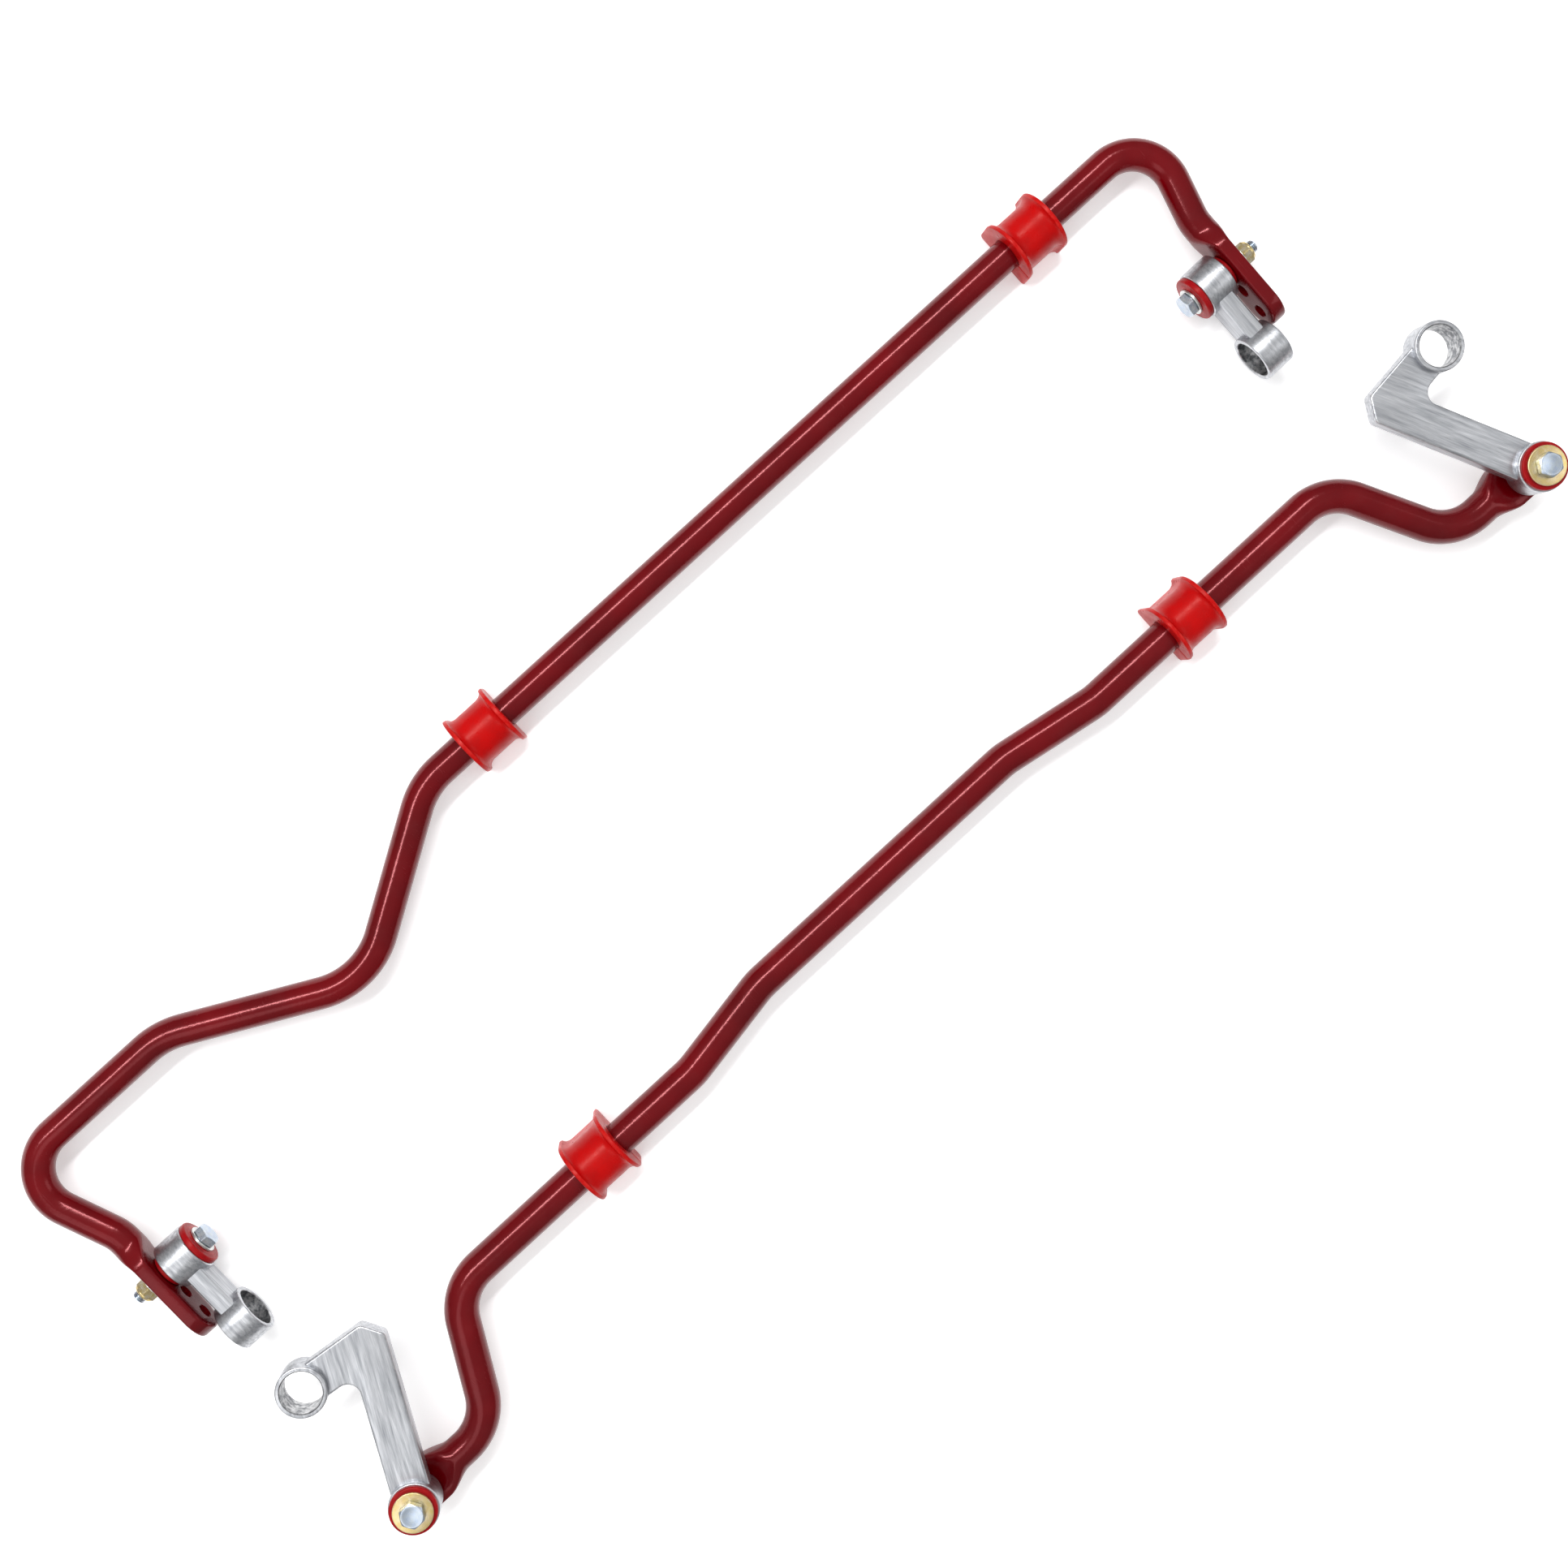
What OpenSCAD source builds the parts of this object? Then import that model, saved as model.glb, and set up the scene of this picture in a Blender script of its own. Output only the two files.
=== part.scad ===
// Front and rear sway bars of one car, with their saddle bushes and drop links.
// X runs across the car along both bars, Y from the front bar to the rear bar, Z up.
// Both bars lie with their roll axes level, and their saddle bushes rest on Z = 0.

/* [Front bar] */
// Diameter of the front bar
front_bar_d = 26; // [18:0.5:32]
// Distance between the outer ends of the front bar
front_span = 1164; // [1000:1:1420]
// Distance from the outer end to the corner where the end turns into the arm
front_end_len = 90; // [84:1:120]
// How far the arm leans along the bar between its two corners
front_arm_lean = 50; // [20:1:80]
// Distance from the roll axis to the line of the bar's ends
front_arm_len = 92; // [75:1:130]
// Half the length of the offset middle section
front_mid_half = 124; // [60:1:170]
// Length of each jog into the offset middle section
front_jog_len = 80; // [60:1:110]
// Offset of the middle section from the roll axis
front_jog = 14; // [4:1:24]
// Bend radius of the arm corners, to the bar's centre line
front_bend_r = 42; // [32:1:50]
// Thickness of the forged flat ends
front_flat_t = 14; // [10:0.5:18]
// Width of the forged flat ends
front_flat_w = 38; // [34:0.5:46]
// Length over which the round bar is forged flat
front_forge_len = 24; // [15:1:26]

/* [Rear bar] */
// Diameter of the rear bar
rear_bar_d = 24; // [18:0.5:30]
// Distance between the roll axes of the two bars
axle_gap = 290; // [270:1:400]
// Distance from the roll axis to the tip of the left arm
rear_left_arm = 190; // [178:1:225]
// Distance from the roll axis to the tip of the right arm
rear_right_arm = 172; // [160:1:205]
// Left paddle, measured left from the middle of the front bar
rear_left_x = 590; // [500:1:720]
// Right paddle, measured right from the middle of the front bar
rear_right_x = 498; // [420:1:590]
// How far the left arm leans outwards between its paddle and its corner
rear_left_lean = 32; // [0:1:38]
// How far the right arm leans outwards between its paddle and its corner
rear_right_lean = 20; // [0:1:30]
// Bend radius of the two arm corners, to the bar's centre line
rear_corner_r = 34; // [26:1:40]
// Bend radius of the left dogleg, to the bar's centre line
rear_dogleg_r = 62; // [40:1:75]
// Depth of the left dogleg, from the roll axis
rear_dogleg = 78; // [40:1:95]
// Lowest point of the dogleg, measured left from the middle of the front bar
rear_dogleg_x = 332; // [322:1:345]
// Length of the dogleg's inner slope along the bar
rear_dogleg_in = 127; // [115:1:150]
// Length of the dogleg's outer slope along the bar
rear_dogleg_out = 136; // [125:1:150]
// How far the short straight outside the dogleg sits from the roll axis
rear_outer_drop = 6; // [0:0.5:15]
// Thickness of the flattened paddles
rear_flat_t = 12; // [9:0.5:16]
// Height of the flattened paddles
rear_flat_w = 36; // [30:0.5:42]
// Straight round stretch between the forged end and the bend of the arm
rear_bend_run = 8; // [7:1:14]
// Length over which the round bar is flattened
rear_forge_len = 20; // [12:1:24]
// Distance from the tip to the first adjustment hole
rear_hole_edge = 14; // [12:0.5:16]
// Distance between the adjustment holes
rear_hole_pitch = 20; // [18:0.5:20]

/* [Saddle bushes] */
// Height of both bars' centre lines above the bushes' flat bases
axis_z = 24; // [22:0.5:34]
// Length of a saddle bush along the bar
saddle_len = 38; // [28:1:48]
// Wall of the bush around the bar, in the groove for the bracket
saddle_wall = 8; // [5:0.5:12]
// How far the end flanges stand out of the groove
saddle_flange_h = 4.5; // [2:0.5:7]
// Thickness of each end flange
saddle_flange_t = 5.5; // [3:0.5:8]
// Slit that lets the bush be opened and put over the bar
saddle_slit = 0.8; // [0.4:0.1:1.5]
// Front bushes, measured each way from the middle of the front bar
front_saddle_x = 297; // [250:1:340]
// Left rear bush, measured left from the middle of the front bar
rear_saddle_left = 145; // [80:1:155]
// Right rear bush, measured right from the middle of the front bar
rear_saddle_right = 396; // [300:1:410]

/* [Links] */
// Outer diameter of the link eyes
eye_od = 38; // [36.5:0.5:44]
// Bore of the link eyes
eye_bore = 31; // [26:0.5:33]
// Thickness of the link at its eyes
eye_t = 24; // [18:0.5:26]
// Thickness of the web between the eyes
web_t = 14; // [10:0.5:17]
// Width of the web of the angled front links
front_web_w = 29; // [22:0.5:34]
// Long arm of the angled front link, eye centre to corner
front_long = 125; // [110:1:140]
// Short arm of the angled front link, corner to eye centre
front_short = 57; // [50:1:70]
// Angle between the two arms of the front link
front_angle = 70; // [60:1:80]
// Width of the web of the straight rear links
rear_web_w = 26; // [20:0.5:32]
// Distance between the eyes of the straight rear link
rear_link_cc = 63; // [54:1:72]

/* [Link bushes and sleeves] */
// Length of the steel sleeve that the bolt clamps
sleeve_len = 34; // [30:0.5:41]
// Wall of the sleeve
sleeve_wall = 1.75; // [1:0.25:2.5]
// Diameter of the flange of the link bush
bush_flange_d = 36; // [34.5:0.5:44]
// Thickness of the flange of the link bush
bush_flange_t = 4.5; // [3:0.5:6]
// Diameter of the tip of the link bush that stands out of the eye
bush_tip_d = 27; // [20:0.5:30]

/* [Bolts, nuts and washers] */
// Diameter of the bolts
bolt_d = 10; // [7:0.5:10]
// How far the bolts stand out of the front nuts
bolt_tail = 2.5; // [1:0.5:10]
// Size of the bolt heads and nuts across their flats
hex_af = 17; // [14:0.5:19]
// Height of the bolt heads
head_h = 6.4; // [5:0.2:9]
// Height of the hexagon of the locking nuts
nut_h = 7.5; // [6:0.5:9]
// Height of the round collar that holds the nylon ring
collar_h = 2.5; // [2:0.25:3]
// Wall of that collar
collar_wall = 1.2; // [0.8:0.1:1.5]
// Diameter of the small washers
washer_d = 22; // [18:0.5:26]
// Thickness of the small washers
washer_t = 2; // [1.5:0.1:3]
// Diameter of the large washers on the front links
large_washer_d = 30; // [26:0.5:36]
// Thickness of the large washers
large_washer_t = 2.5; // [2:0.1:4]

/* [Clearances] */
// Radial clearance of the bars in the saddle bushes
saddle_gap = 0.05; // [0.02:0.01:0.1]
// Radial clearance of the sleeves in the link bushes
sleeve_gap = 0.05; // [0.02:0.01:0.1]
// Clearance at each end of a link bush between what the bolt clamps
side_gap = 0.3; // [0.2:0.05:0.5]
// Radial clearance of the bush shank in the link eye
eye_gap = 0.04; // [0.02:0.01:0.1]
// Radial clearance of the bolts in the bars and washers
bolt_gap = 0.25; // [0.15:0.05:0.5]
// Radial clearance of the bolts in the nuts and nylon rings
thread_gap = 0.05; // [0.02:0.01:0.1]

/* [Hidden] */

// Sides of the car
LEFT = -1;
RIGHT = 1;

// Facets of the previewed curves
ROUND = 64;
FORGE_ROUND = 32;

// Length of the thin slices that the forged shapes are blended between
slice = 0.5;
// How far a straight stretch runs into the bend after it
bend_lap = 0.5;
// How much thicker a bar is in its bends, where it was upset by the bending
bend_swell = 0.3;
// How much thicker a bar is where its forged end starts
forge_swell = 0.4;
// How far the forged blend stays inside the flat that it runs into
forge_step = 0.1;
// How much wider a flat end or a link is at its rounded corner
corner_swell = 0.4;
// How far a cutter runs past the face it cuts
past = 1;
// How far a flat runs past the widest piece that is clamped against it
flat_margin = 1.5;

// Front bar: its ends lie on Y = 0 and its roll axis on Y = front_axis_y
front_half = front_span / 2;
front_axis_y = front_arm_len;
front_corner_x = front_half - front_end_len;
front_shoulder_x = front_corner_x - front_arm_lean;
front_jog_x = front_mid_half + front_jog_len;
front_hole_x = front_half - front_flat_w / 2;
// From the bolt's middle to the start of the flat, on both bars
seat_r = max(bush_tip_d, washer_d) / 2 + flat_margin;
front_flat_x = front_hole_x - seat_r;
front_round_x = front_flat_x - front_forge_len;

// Centre line of the right half of the front bar, from its middle outwards
front_right = [
    [front_mid_half, front_axis_y + front_jog],
    [front_jog_x, front_axis_y],
    [front_shoulder_x, front_axis_y],
    [front_corner_x, 0],
    [front_round_x, 0]
];
front_left = [for (i = [len(front_right) - 1 : -1 : 0]) [-front_right[i][0], front_right[i][1]]];
front_path = concat(front_left, front_right);
front_radii = [0, front_bend_r, front_bend_r, rear_dogleg_r, rear_dogleg_r,
               rear_dogleg_r, rear_dogleg_r, front_bend_r, front_bend_r, 0];

// Rear bar: its roll axis lies on Y = rear_axis_y
rear_axis_y = front_axis_y + axle_gap;
rear_left_tip_y = rear_axis_y - rear_left_arm;
rear_right_tip_y = rear_axis_y - rear_right_arm;
// The links are bolted to the innermost of the three adjustment holes
rear_hole_len = rear_hole_edge + 2 * rear_hole_pitch;
// How far from the tip the flat ends, the forged end starts, and the arm bends outwards
rear_flat_len = rear_hole_len + seat_r;
rear_round_len = rear_flat_len + rear_forge_len;
rear_bend_len = rear_round_len + rear_bend_run;
rear_outer_y = rear_axis_y - rear_outer_drop;

// Centre line of the rear bar from the left paddle to the right paddle
rear_path = [
    [-rear_left_x, rear_left_tip_y + rear_round_len],
    [-rear_left_x, rear_left_tip_y + rear_bend_len],
    [-rear_left_x - rear_left_lean, rear_outer_y],
    [-rear_dogleg_x - rear_dogleg_out, rear_outer_y],
    [-rear_dogleg_x, rear_axis_y - rear_dogleg],
    [-rear_dogleg_x + rear_dogleg_in, rear_axis_y],
    [rear_right_x + rear_right_lean, rear_axis_y],
    [rear_right_x, rear_right_tip_y + rear_bend_len],
    [rear_right_x, rear_right_tip_y + rear_round_len]
];
// The middle of each paddle's tip
rear_tips = [[-rear_left_x, rear_left_tip_y], [rear_right_x, rear_right_tip_y]];
rear_radii = [0, rear_corner_r, rear_corner_r, rear_dogleg_r, rear_dogleg_r,
              rear_dogleg_r, rear_corner_r, rear_corner_r, 0];

// Height of the web's middle above the middle of the bar's flat end
front_link_z = front_flat_t / 2 + sleeve_len / 2;
rear_link_z = rear_flat_t / 2 + sleeve_len / 2;

// Front link: the line between its eyes, and how far the long arm leaves it
front_link_cc = sqrt(front_long * front_long + front_short * front_short
                     - 2 * front_long * front_short * cos(front_angle));
front_lean = asin(front_short * sin(front_angle) / front_link_cc);
front_elbow = front_long * [-sin(front_lean), cos(front_lean)];

// The link bush fills the sleeve's length less its side clearances
bush_len = sleeve_len - 2 * side_gap;
hex_d = hex_af / cos(30);
clear_d = bolt_d + 2 * bolt_gap;
// The sleeve passes the bolt as the bars and washers do, and its wall sets its outer diameter
sleeve_bore = clear_d;
sleeve_od = sleeve_bore + 2 * sleeve_wall;
// All four bolts are one length under the head, which the taller stack sets
stack_ends = max(front_flat_t + large_washer_t, rear_flat_t + washer_t) + washer_t + nut_h + collar_h;
bolt_len = stack_ends + sleeve_len + bolt_tail;
nut_bore = bolt_d + 2 * thread_gap;
collar_d = hex_af - 1;
ring_d = collar_d - 2 * collar_wall;

// Direction, in degrees, from one point to another
function heading(a, b) = atan2(b[1] - a[1], b[0] - a[0]);
// The same angle within half a turn each way
function half_turn(a) = a > 180 ? a - 360 : a < -180 ? a + 360 : a;
// How far a path turns at its point i, positive to the left
function turn_at(path, i) = half_turn(heading(path[i], path[i + 1]) - heading(path[i - 1], path[i]));
// How far before and after point i its bend starts and ends
function setback(path, radii, i) =
    i == 0 || i == len(path) - 1 ? 0 : radii[i] * tan(abs(turn_at(path, i)) / 2);
// The unit vector in a direction
function along(angle) = [cos(angle), sin(angle)];
// The centre of the bend at point i
function bend_centre(path, radii, i) =
    path[i] - setback(path, radii, i) * along(heading(path[i - 1], path[i]))
    + radii[i] * sign(turn_at(path, i)) * along(heading(path[i - 1], path[i]) + 90);

// The origin is under the middle of the whole set
left_corner = 2;
set_left = bend_centre(rear_path, rear_radii, left_corner)[0] - rear_corner_r - (rear_bar_d + bend_swell) / 2;
set_right = front_hole_x + max(front_flat_w, eye_od) / 2;
set_front = -max(front_flat_w, eye_od) / 2;
set_back = rear_axis_y + rear_bar_d / 2 + saddle_wall + saddle_flange_h;
origin_x = (set_left + set_right) / 2;
origin_y = (set_front + set_back) / 2;

// Moves a piece from the front bar's own axes to the origin of the set
module placed() {
    translate([-origin_x, -origin_y, axis_z]) children();
}

// Draws a piece made for the right side on either side
module on_side(side) {
    if (side == RIGHT) {
        children();
    } else {
        mirror([1, 0, 0]) children();
    }
}

// Round bar bent along a flat path, with a true bend at each inner point
module bent_bar(path, radii, d) {
    for (i = [0 : len(path) - 2]) {
        way = heading(path[i], path[i + 1]);
        from = path[i] + (setback(path, radii, i) - bend_lap) * along(way);
        bends = setback(path, radii, i) + setback(path, radii, i + 1);
        run = norm(path[i + 1] - path[i]) - bends + 2 * bend_lap;
        translate([from[0], from[1], 0])
            rotate([0, 0, way])
                rotate([0, 90, 0])
                    cylinder(d = d, h = run, $fn = ROUND);
    }
    for (i = [1 : len(path) - 2]) {
        turn = turn_at(path, i);
        centre = bend_centre(path, radii, i);
        way = heading(path[i - 1], path[i]);
        start = turn > 0 ? way - 90 : way + 90 + turn;
        translate([centre[0], centre[1], 0])
            rotate([0, 0, start])
                rotate_extrude(angle = abs(turn), $fn = ROUND)
                    translate([radii[i], 0])
                        circle(d = d + bend_swell, $fn = ROUND);
    }
}

// Flat forged end along +X: starts round at X = 0 and ends in a rounded flat tongue
module forged_end(d, forge_len, flat_len, width, thick) {
    tongue_width = width - corner_swell;
    hull() {
        rotate([0, 90, 0])
            cylinder(d = d / cos(180 / FORGE_ROUND) + forge_swell, h = slice, $fn = FORGE_ROUND);
        translate([forge_len, forge_step - tongue_width / 2, forge_step - thick / 2])
            cube([slice, tongue_width - 2 * forge_step, thick - 2 * forge_step]);
    }
    translate([forge_len, -tongue_width / 2, -thick / 2])
        cube([flat_len - width / 2, tongue_width, thick]);
    translate([forge_len + flat_len - width / 2, 0, -thick / 2])
        cylinder(d = width, h = thick, $fn = ROUND);
}

// Hole for a bolt through a flat end of a given thickness, along Z
module bolt_hole(thick) {
    translate([0, 0, -thick / 2 - past]) cylinder(d = clear_d, h = thick + 2 * past, $fn = ROUND);
}

module front_bar() {
    color("firebrick") placed() {
        difference() {
            union() {
                bent_bar(front_path, front_radii, front_bar_d);
                for (side = [LEFT, RIGHT]) {
                    on_side(side)
                        translate([front_round_x, 0, 0])
                            forged_end(front_bar_d, front_forge_len, front_half - front_flat_x,
                                       front_flat_w, front_flat_t);
                }
            }
            for (side = [LEFT, RIGHT]) {
                translate([side * front_hole_x, 0, 0]) bolt_hole(front_flat_t);
            }
        }
    }
}

module rear_bar() {
    color("firebrick") placed() {
        difference() {
            union() {
                bent_bar(rear_path, rear_radii, rear_bar_d);
                for (tip = rear_tips) {
                    translate([tip[0], tip[1] + rear_round_len, 0])
                        rotate([0, 0, -90])
                            rotate([90, 0, 0])
                                forged_end(rear_bar_d, rear_forge_len, rear_flat_len,
                                           rear_flat_w, rear_flat_t);
                }
            }
            for (tip = rear_tips) {
                for (i = [0 : 2]) {
                    translate([tip[0], tip[1] + rear_hole_edge + i * rear_hole_pitch, 0])
                        rotate([0, 90, 0])
                            bolt_hole(rear_flat_t);
                }
            }
        }
    }
}

// One step of a saddle bush: a dome over a flat base, along X
module saddle_dome(r, length) {
    rotate([0, 90, 0]) cylinder(r = r, h = length, center = true, $fn = ROUND);
    translate([-length / 2, -r, -axis_z]) cube([length, 2 * r, axis_z]);
}

// D-shaped saddle bush with a groove for its bracket and a slit to open it
module saddle_bush(bar_d) {
    groove_r = bar_d / 2 + saddle_wall;
    flange_r = groove_r + saddle_flange_h;
    difference() {
        union() {
            saddle_dome(groove_r, saddle_len);
            for (side = [LEFT, RIGHT]) {
                translate([side * (saddle_len - saddle_flange_t) / 2, 0, 0])
                    saddle_dome(flange_r, saddle_flange_t);
            }
        }
        translate([-saddle_len / 2 - past, -2 * flange_r, -axis_z - flange_r])
            cube([saddle_len + 2 * past, 4 * flange_r, flange_r]);
        rotate([0, 90, 0])
            cylinder(r = bar_d / 2 + saddle_gap, h = saddle_len + 2 * past, center = true, $fn = ROUND);
        translate([-saddle_len / 2 - past, -flange_r - past, -saddle_slit / 2])
            cube([saddle_len + 2 * past, flange_r + past, saddle_slit]);
    }
}

module front_saddle_bush(side) {
    color("red") placed()
        translate([side * front_saddle_x, front_axis_y, 0])
            saddle_bush(front_bar_d);
}

module rear_saddle_bush(x) {
    color("red") placed()
        translate([x, rear_axis_y, 0])
            saddle_bush(rear_bar_d);
}

// Turns a bolt stack made along Z into place on a front end: the link is above it
module on_front_end(side) {
    placed()
        translate([side * front_hole_x, 0, 0])
            on_side(side)
                children();
}

// Turns a bolt stack made along Z into place on a rear paddle: the link is inboard of it
module on_rear_paddle(side) {
    tip = side == LEFT ? rear_tips[0] : rear_tips[1];
    placed()
        translate([tip[0], tip[1] + rear_hole_len, 0])
            rotate([0, -side * 90, 0])
                children();
}

// Straight stretch of a link's web between two points
module web(from, to, width) {
    translate([from[0], from[1], -web_t / 2])
        rotate([0, 0, heading(from, to)])
            translate([0, -width / 2, 0])
                cube([norm(to - from), width, web_t]);
}

module eye_boss(at) {
    translate([at[0], at[1], -eye_t / 2]) cylinder(d = eye_od, h = eye_t, $fn = ROUND);
}

module eye_hole(at) {
    translate([at[0], at[1], -eye_t / 2 - past])
        cylinder(d = eye_bore, h = eye_t + 2 * past, $fn = ROUND);
}

// Angled link: its bush eye is at the origin and its open eye straight along +Y
module angled_link() {
    open_eye = [0, front_link_cc];
    difference() {
        union() {
            web([0, 0], front_elbow, front_web_w);
            web(front_elbow, open_eye, front_web_w);
            translate([front_elbow[0], front_elbow[1], -web_t / 2])
                cylinder(d = front_web_w + corner_swell, h = web_t, $fn = ROUND);
            eye_boss([0, 0]);
            eye_boss(open_eye);
        }
        eye_hole([0, 0]);
        eye_hole(open_eye);
    }
}

// Straight link: its bush eye is at the origin and its open eye straight along -Y
module straight_link() {
    open_eye = [0, -rear_link_cc];
    difference() {
        union() {
            web([0, 0], open_eye, rear_web_w);
            eye_boss([0, 0]);
            eye_boss(open_eye);
        }
        eye_hole([0, 0]);
        eye_hole(open_eye);
    }
}

module front_link(side) {
    color("gainsboro") on_front_end(side)
        translate([0, 0, front_link_z])
            angled_link();
}

module rear_link(side) {
    color("gainsboro") on_rear_paddle(side)
        translate([0, 0, rear_link_z])
            straight_link();
}

// Link bush: flange on top of the eye, shank through it and a narrower tip below it
module link_bush() {
    shank_d = eye_bore - 2 * eye_gap;
    flange_z = eye_t / 2;
    difference() {
        union() {
            translate([0, 0, -bush_len / 2]) cylinder(d = bush_tip_d, h = bush_len, $fn = ROUND);
            translate([0, 0, -eye_t / 2]) cylinder(d = shank_d, h = eye_t, $fn = ROUND);
            translate([0, 0, flange_z])
                cylinder(d = bush_flange_d, h = min(bush_flange_t, bush_len / 2 - flange_z), $fn = ROUND);
        }
        cylinder(d = sleeve_od + 2 * sleeve_gap, h = bush_len + 2 * past, center = true, $fn = ROUND);
    }
}

module front_link_bush(side) {
    color("darkred") on_front_end(side) translate([0, 0, front_link_z]) link_bush();
}

module rear_link_bush(side) {
    color("darkred") on_rear_paddle(side) translate([0, 0, rear_link_z]) link_bush();
}

// Sleeve between the bar's flat end and the washer under the bolt head
module sleeve(flat_t) {
    translate([0, 0, flat_t / 2])
        difference() {
            cylinder(d = sleeve_od, h = sleeve_len, $fn = ROUND);
            translate([0, 0, -past]) cylinder(d = sleeve_bore, h = sleeve_len + 2 * past, $fn = ROUND);
        }
}

module front_sleeve(side) {
    color("silver") on_front_end(side) sleeve(front_flat_t);
}

module rear_sleeve(side) {
    color("silver") on_rear_paddle(side) sleeve(rear_flat_t);
}

// Bolt with its head above a washer on top of the sleeve
module bolt(flat_t, head_washer_t) {
    head_z = flat_t / 2 + sleeve_len + head_washer_t;
    translate([0, 0, head_z]) cylinder(d = hex_d, h = head_h, $fn = 6);
    translate([0, 0, head_z - bolt_len]) cylinder(d = bolt_d, h = bolt_len, $fn = ROUND);
}

module front_bolt(side) {
    color("lightsteelblue") on_front_end(side) bolt(front_flat_t, large_washer_t);
}

module rear_bolt(side) {
    color("lightsteelblue") on_rear_paddle(side) bolt(rear_flat_t, washer_t);
}

// Locking nut under the washer below the flat end, its collar pointing away
module lock_nut(flat_t) {
    seat_z = -flat_t / 2 - washer_t;
    difference() {
        union() {
            translate([0, 0, seat_z - nut_h]) cylinder(d = hex_d, h = nut_h, $fn = 6);
            translate([0, 0, seat_z - nut_h - collar_h]) cylinder(d = collar_d, h = collar_h, $fn = ROUND);
        }
        translate([0, 0, seat_z - nut_h - collar_h - past])
            cylinder(d = nut_bore, h = nut_h + collar_h + 2 * past, $fn = ROUND);
        translate([0, 0, seat_z - nut_h - collar_h - past])
            cylinder(d = ring_d, h = collar_h + past, $fn = ROUND);
    }
}

module front_nut(side) {
    color("goldenrod") on_front_end(side) lock_nut(front_flat_t);
}

module rear_nut(side) {
    color("goldenrod") on_rear_paddle(side) lock_nut(rear_flat_t);
}

// Nylon ring in the nut's collar
module nut_ring(flat_t) {
    translate([0, 0, -flat_t / 2 - washer_t - nut_h - collar_h])
        difference() {
            cylinder(d = ring_d - 2 * thread_gap, h = collar_h, $fn = ROUND);
            translate([0, 0, -past]) cylinder(d = nut_bore, h = collar_h + 2 * past, $fn = ROUND);
        }
}

module front_nut_ring(side) {
    color("dimgray") on_front_end(side) nut_ring(front_flat_t);
}

module rear_nut_ring(side) {
    color("dimgray") on_rear_paddle(side) nut_ring(rear_flat_t);
}

// Washer that stands on height z
module washer(d, thick, z) {
    translate([0, 0, z])
        difference() {
            cylinder(d = d, h = thick, $fn = ROUND);
            translate([0, 0, -past]) cylinder(d = clear_d, h = thick + 2 * past, $fn = ROUND);
        }
}

module front_large_washer(side) {
    color("gold") on_front_end(side)
        washer(large_washer_d, large_washer_t, front_flat_t / 2 + sleeve_len);
}

module front_washer(side) {
    color("lightgray") on_front_end(side)
        washer(washer_d, washer_t, -front_flat_t / 2 - washer_t);
}

// One washer under the bolt head and one under the nut
module rear_washers(side) {
    color("lightgray") on_rear_paddle(side) {
        washer(washer_d, washer_t, rear_flat_t / 2 + sleeve_len);
        washer(washer_d, washer_t, -rear_flat_t / 2 - washer_t);
    }
}

front_bar();
rear_bar();
front_saddle_bush(LEFT);  // front_saddle_bush_left
front_saddle_bush(RIGHT);  // front_saddle_bush_right
rear_saddle_bush(-rear_saddle_left);  // rear_saddle_bush_left
rear_saddle_bush(rear_saddle_right);  // rear_saddle_bush_right
front_link(LEFT);  // front_link_left
front_link(RIGHT);  // front_link_right
rear_link(LEFT);  // rear_link_left
rear_link(RIGHT);  // rear_link_right
front_link_bush(LEFT);  // front_link_bush_left
front_link_bush(RIGHT);  // front_link_bush_right
rear_link_bush(LEFT);  // rear_link_bush_left
rear_link_bush(RIGHT);  // rear_link_bush_right
front_sleeve(LEFT);  // front_sleeve_left
front_sleeve(RIGHT);  // front_sleeve_right
rear_sleeve(LEFT);  // rear_sleeve_left
rear_sleeve(RIGHT);  // rear_sleeve_right
front_bolt(LEFT);  // front_bolt_left
front_bolt(RIGHT);  // front_bolt_right
rear_bolt(LEFT);  // rear_bolt_left
rear_bolt(RIGHT);  // rear_bolt_right
front_nut(LEFT);  // front_nut_left
front_nut(RIGHT);  // front_nut_right
rear_nut(LEFT);  // rear_nut_left
rear_nut(RIGHT);  // rear_nut_right
front_nut_ring(LEFT);  // front_nut_ring_left
front_nut_ring(RIGHT);  // front_nut_ring_right
rear_nut_ring(LEFT);  // rear_nut_ring_left
rear_nut_ring(RIGHT);  // rear_nut_ring_right
front_large_washer(LEFT);  // front_large_washer_left
front_large_washer(RIGHT);  // front_large_washer_right
front_washer(LEFT);  // front_washer_left
front_washer(RIGHT);  // front_washer_right
rear_washers(LEFT);  // rear_washers_left
rear_washers(RIGHT);  // rear_washers_right
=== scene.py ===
"""Looks of a matched set of sway bars: the front bar, the adjustable rear bar, their
urethane bushes, aluminium links and fasteners, fitted as they go on the car."""

import math

import bmesh
import bpy
import numpy as np
from mathutils import Matrix, Vector


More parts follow.
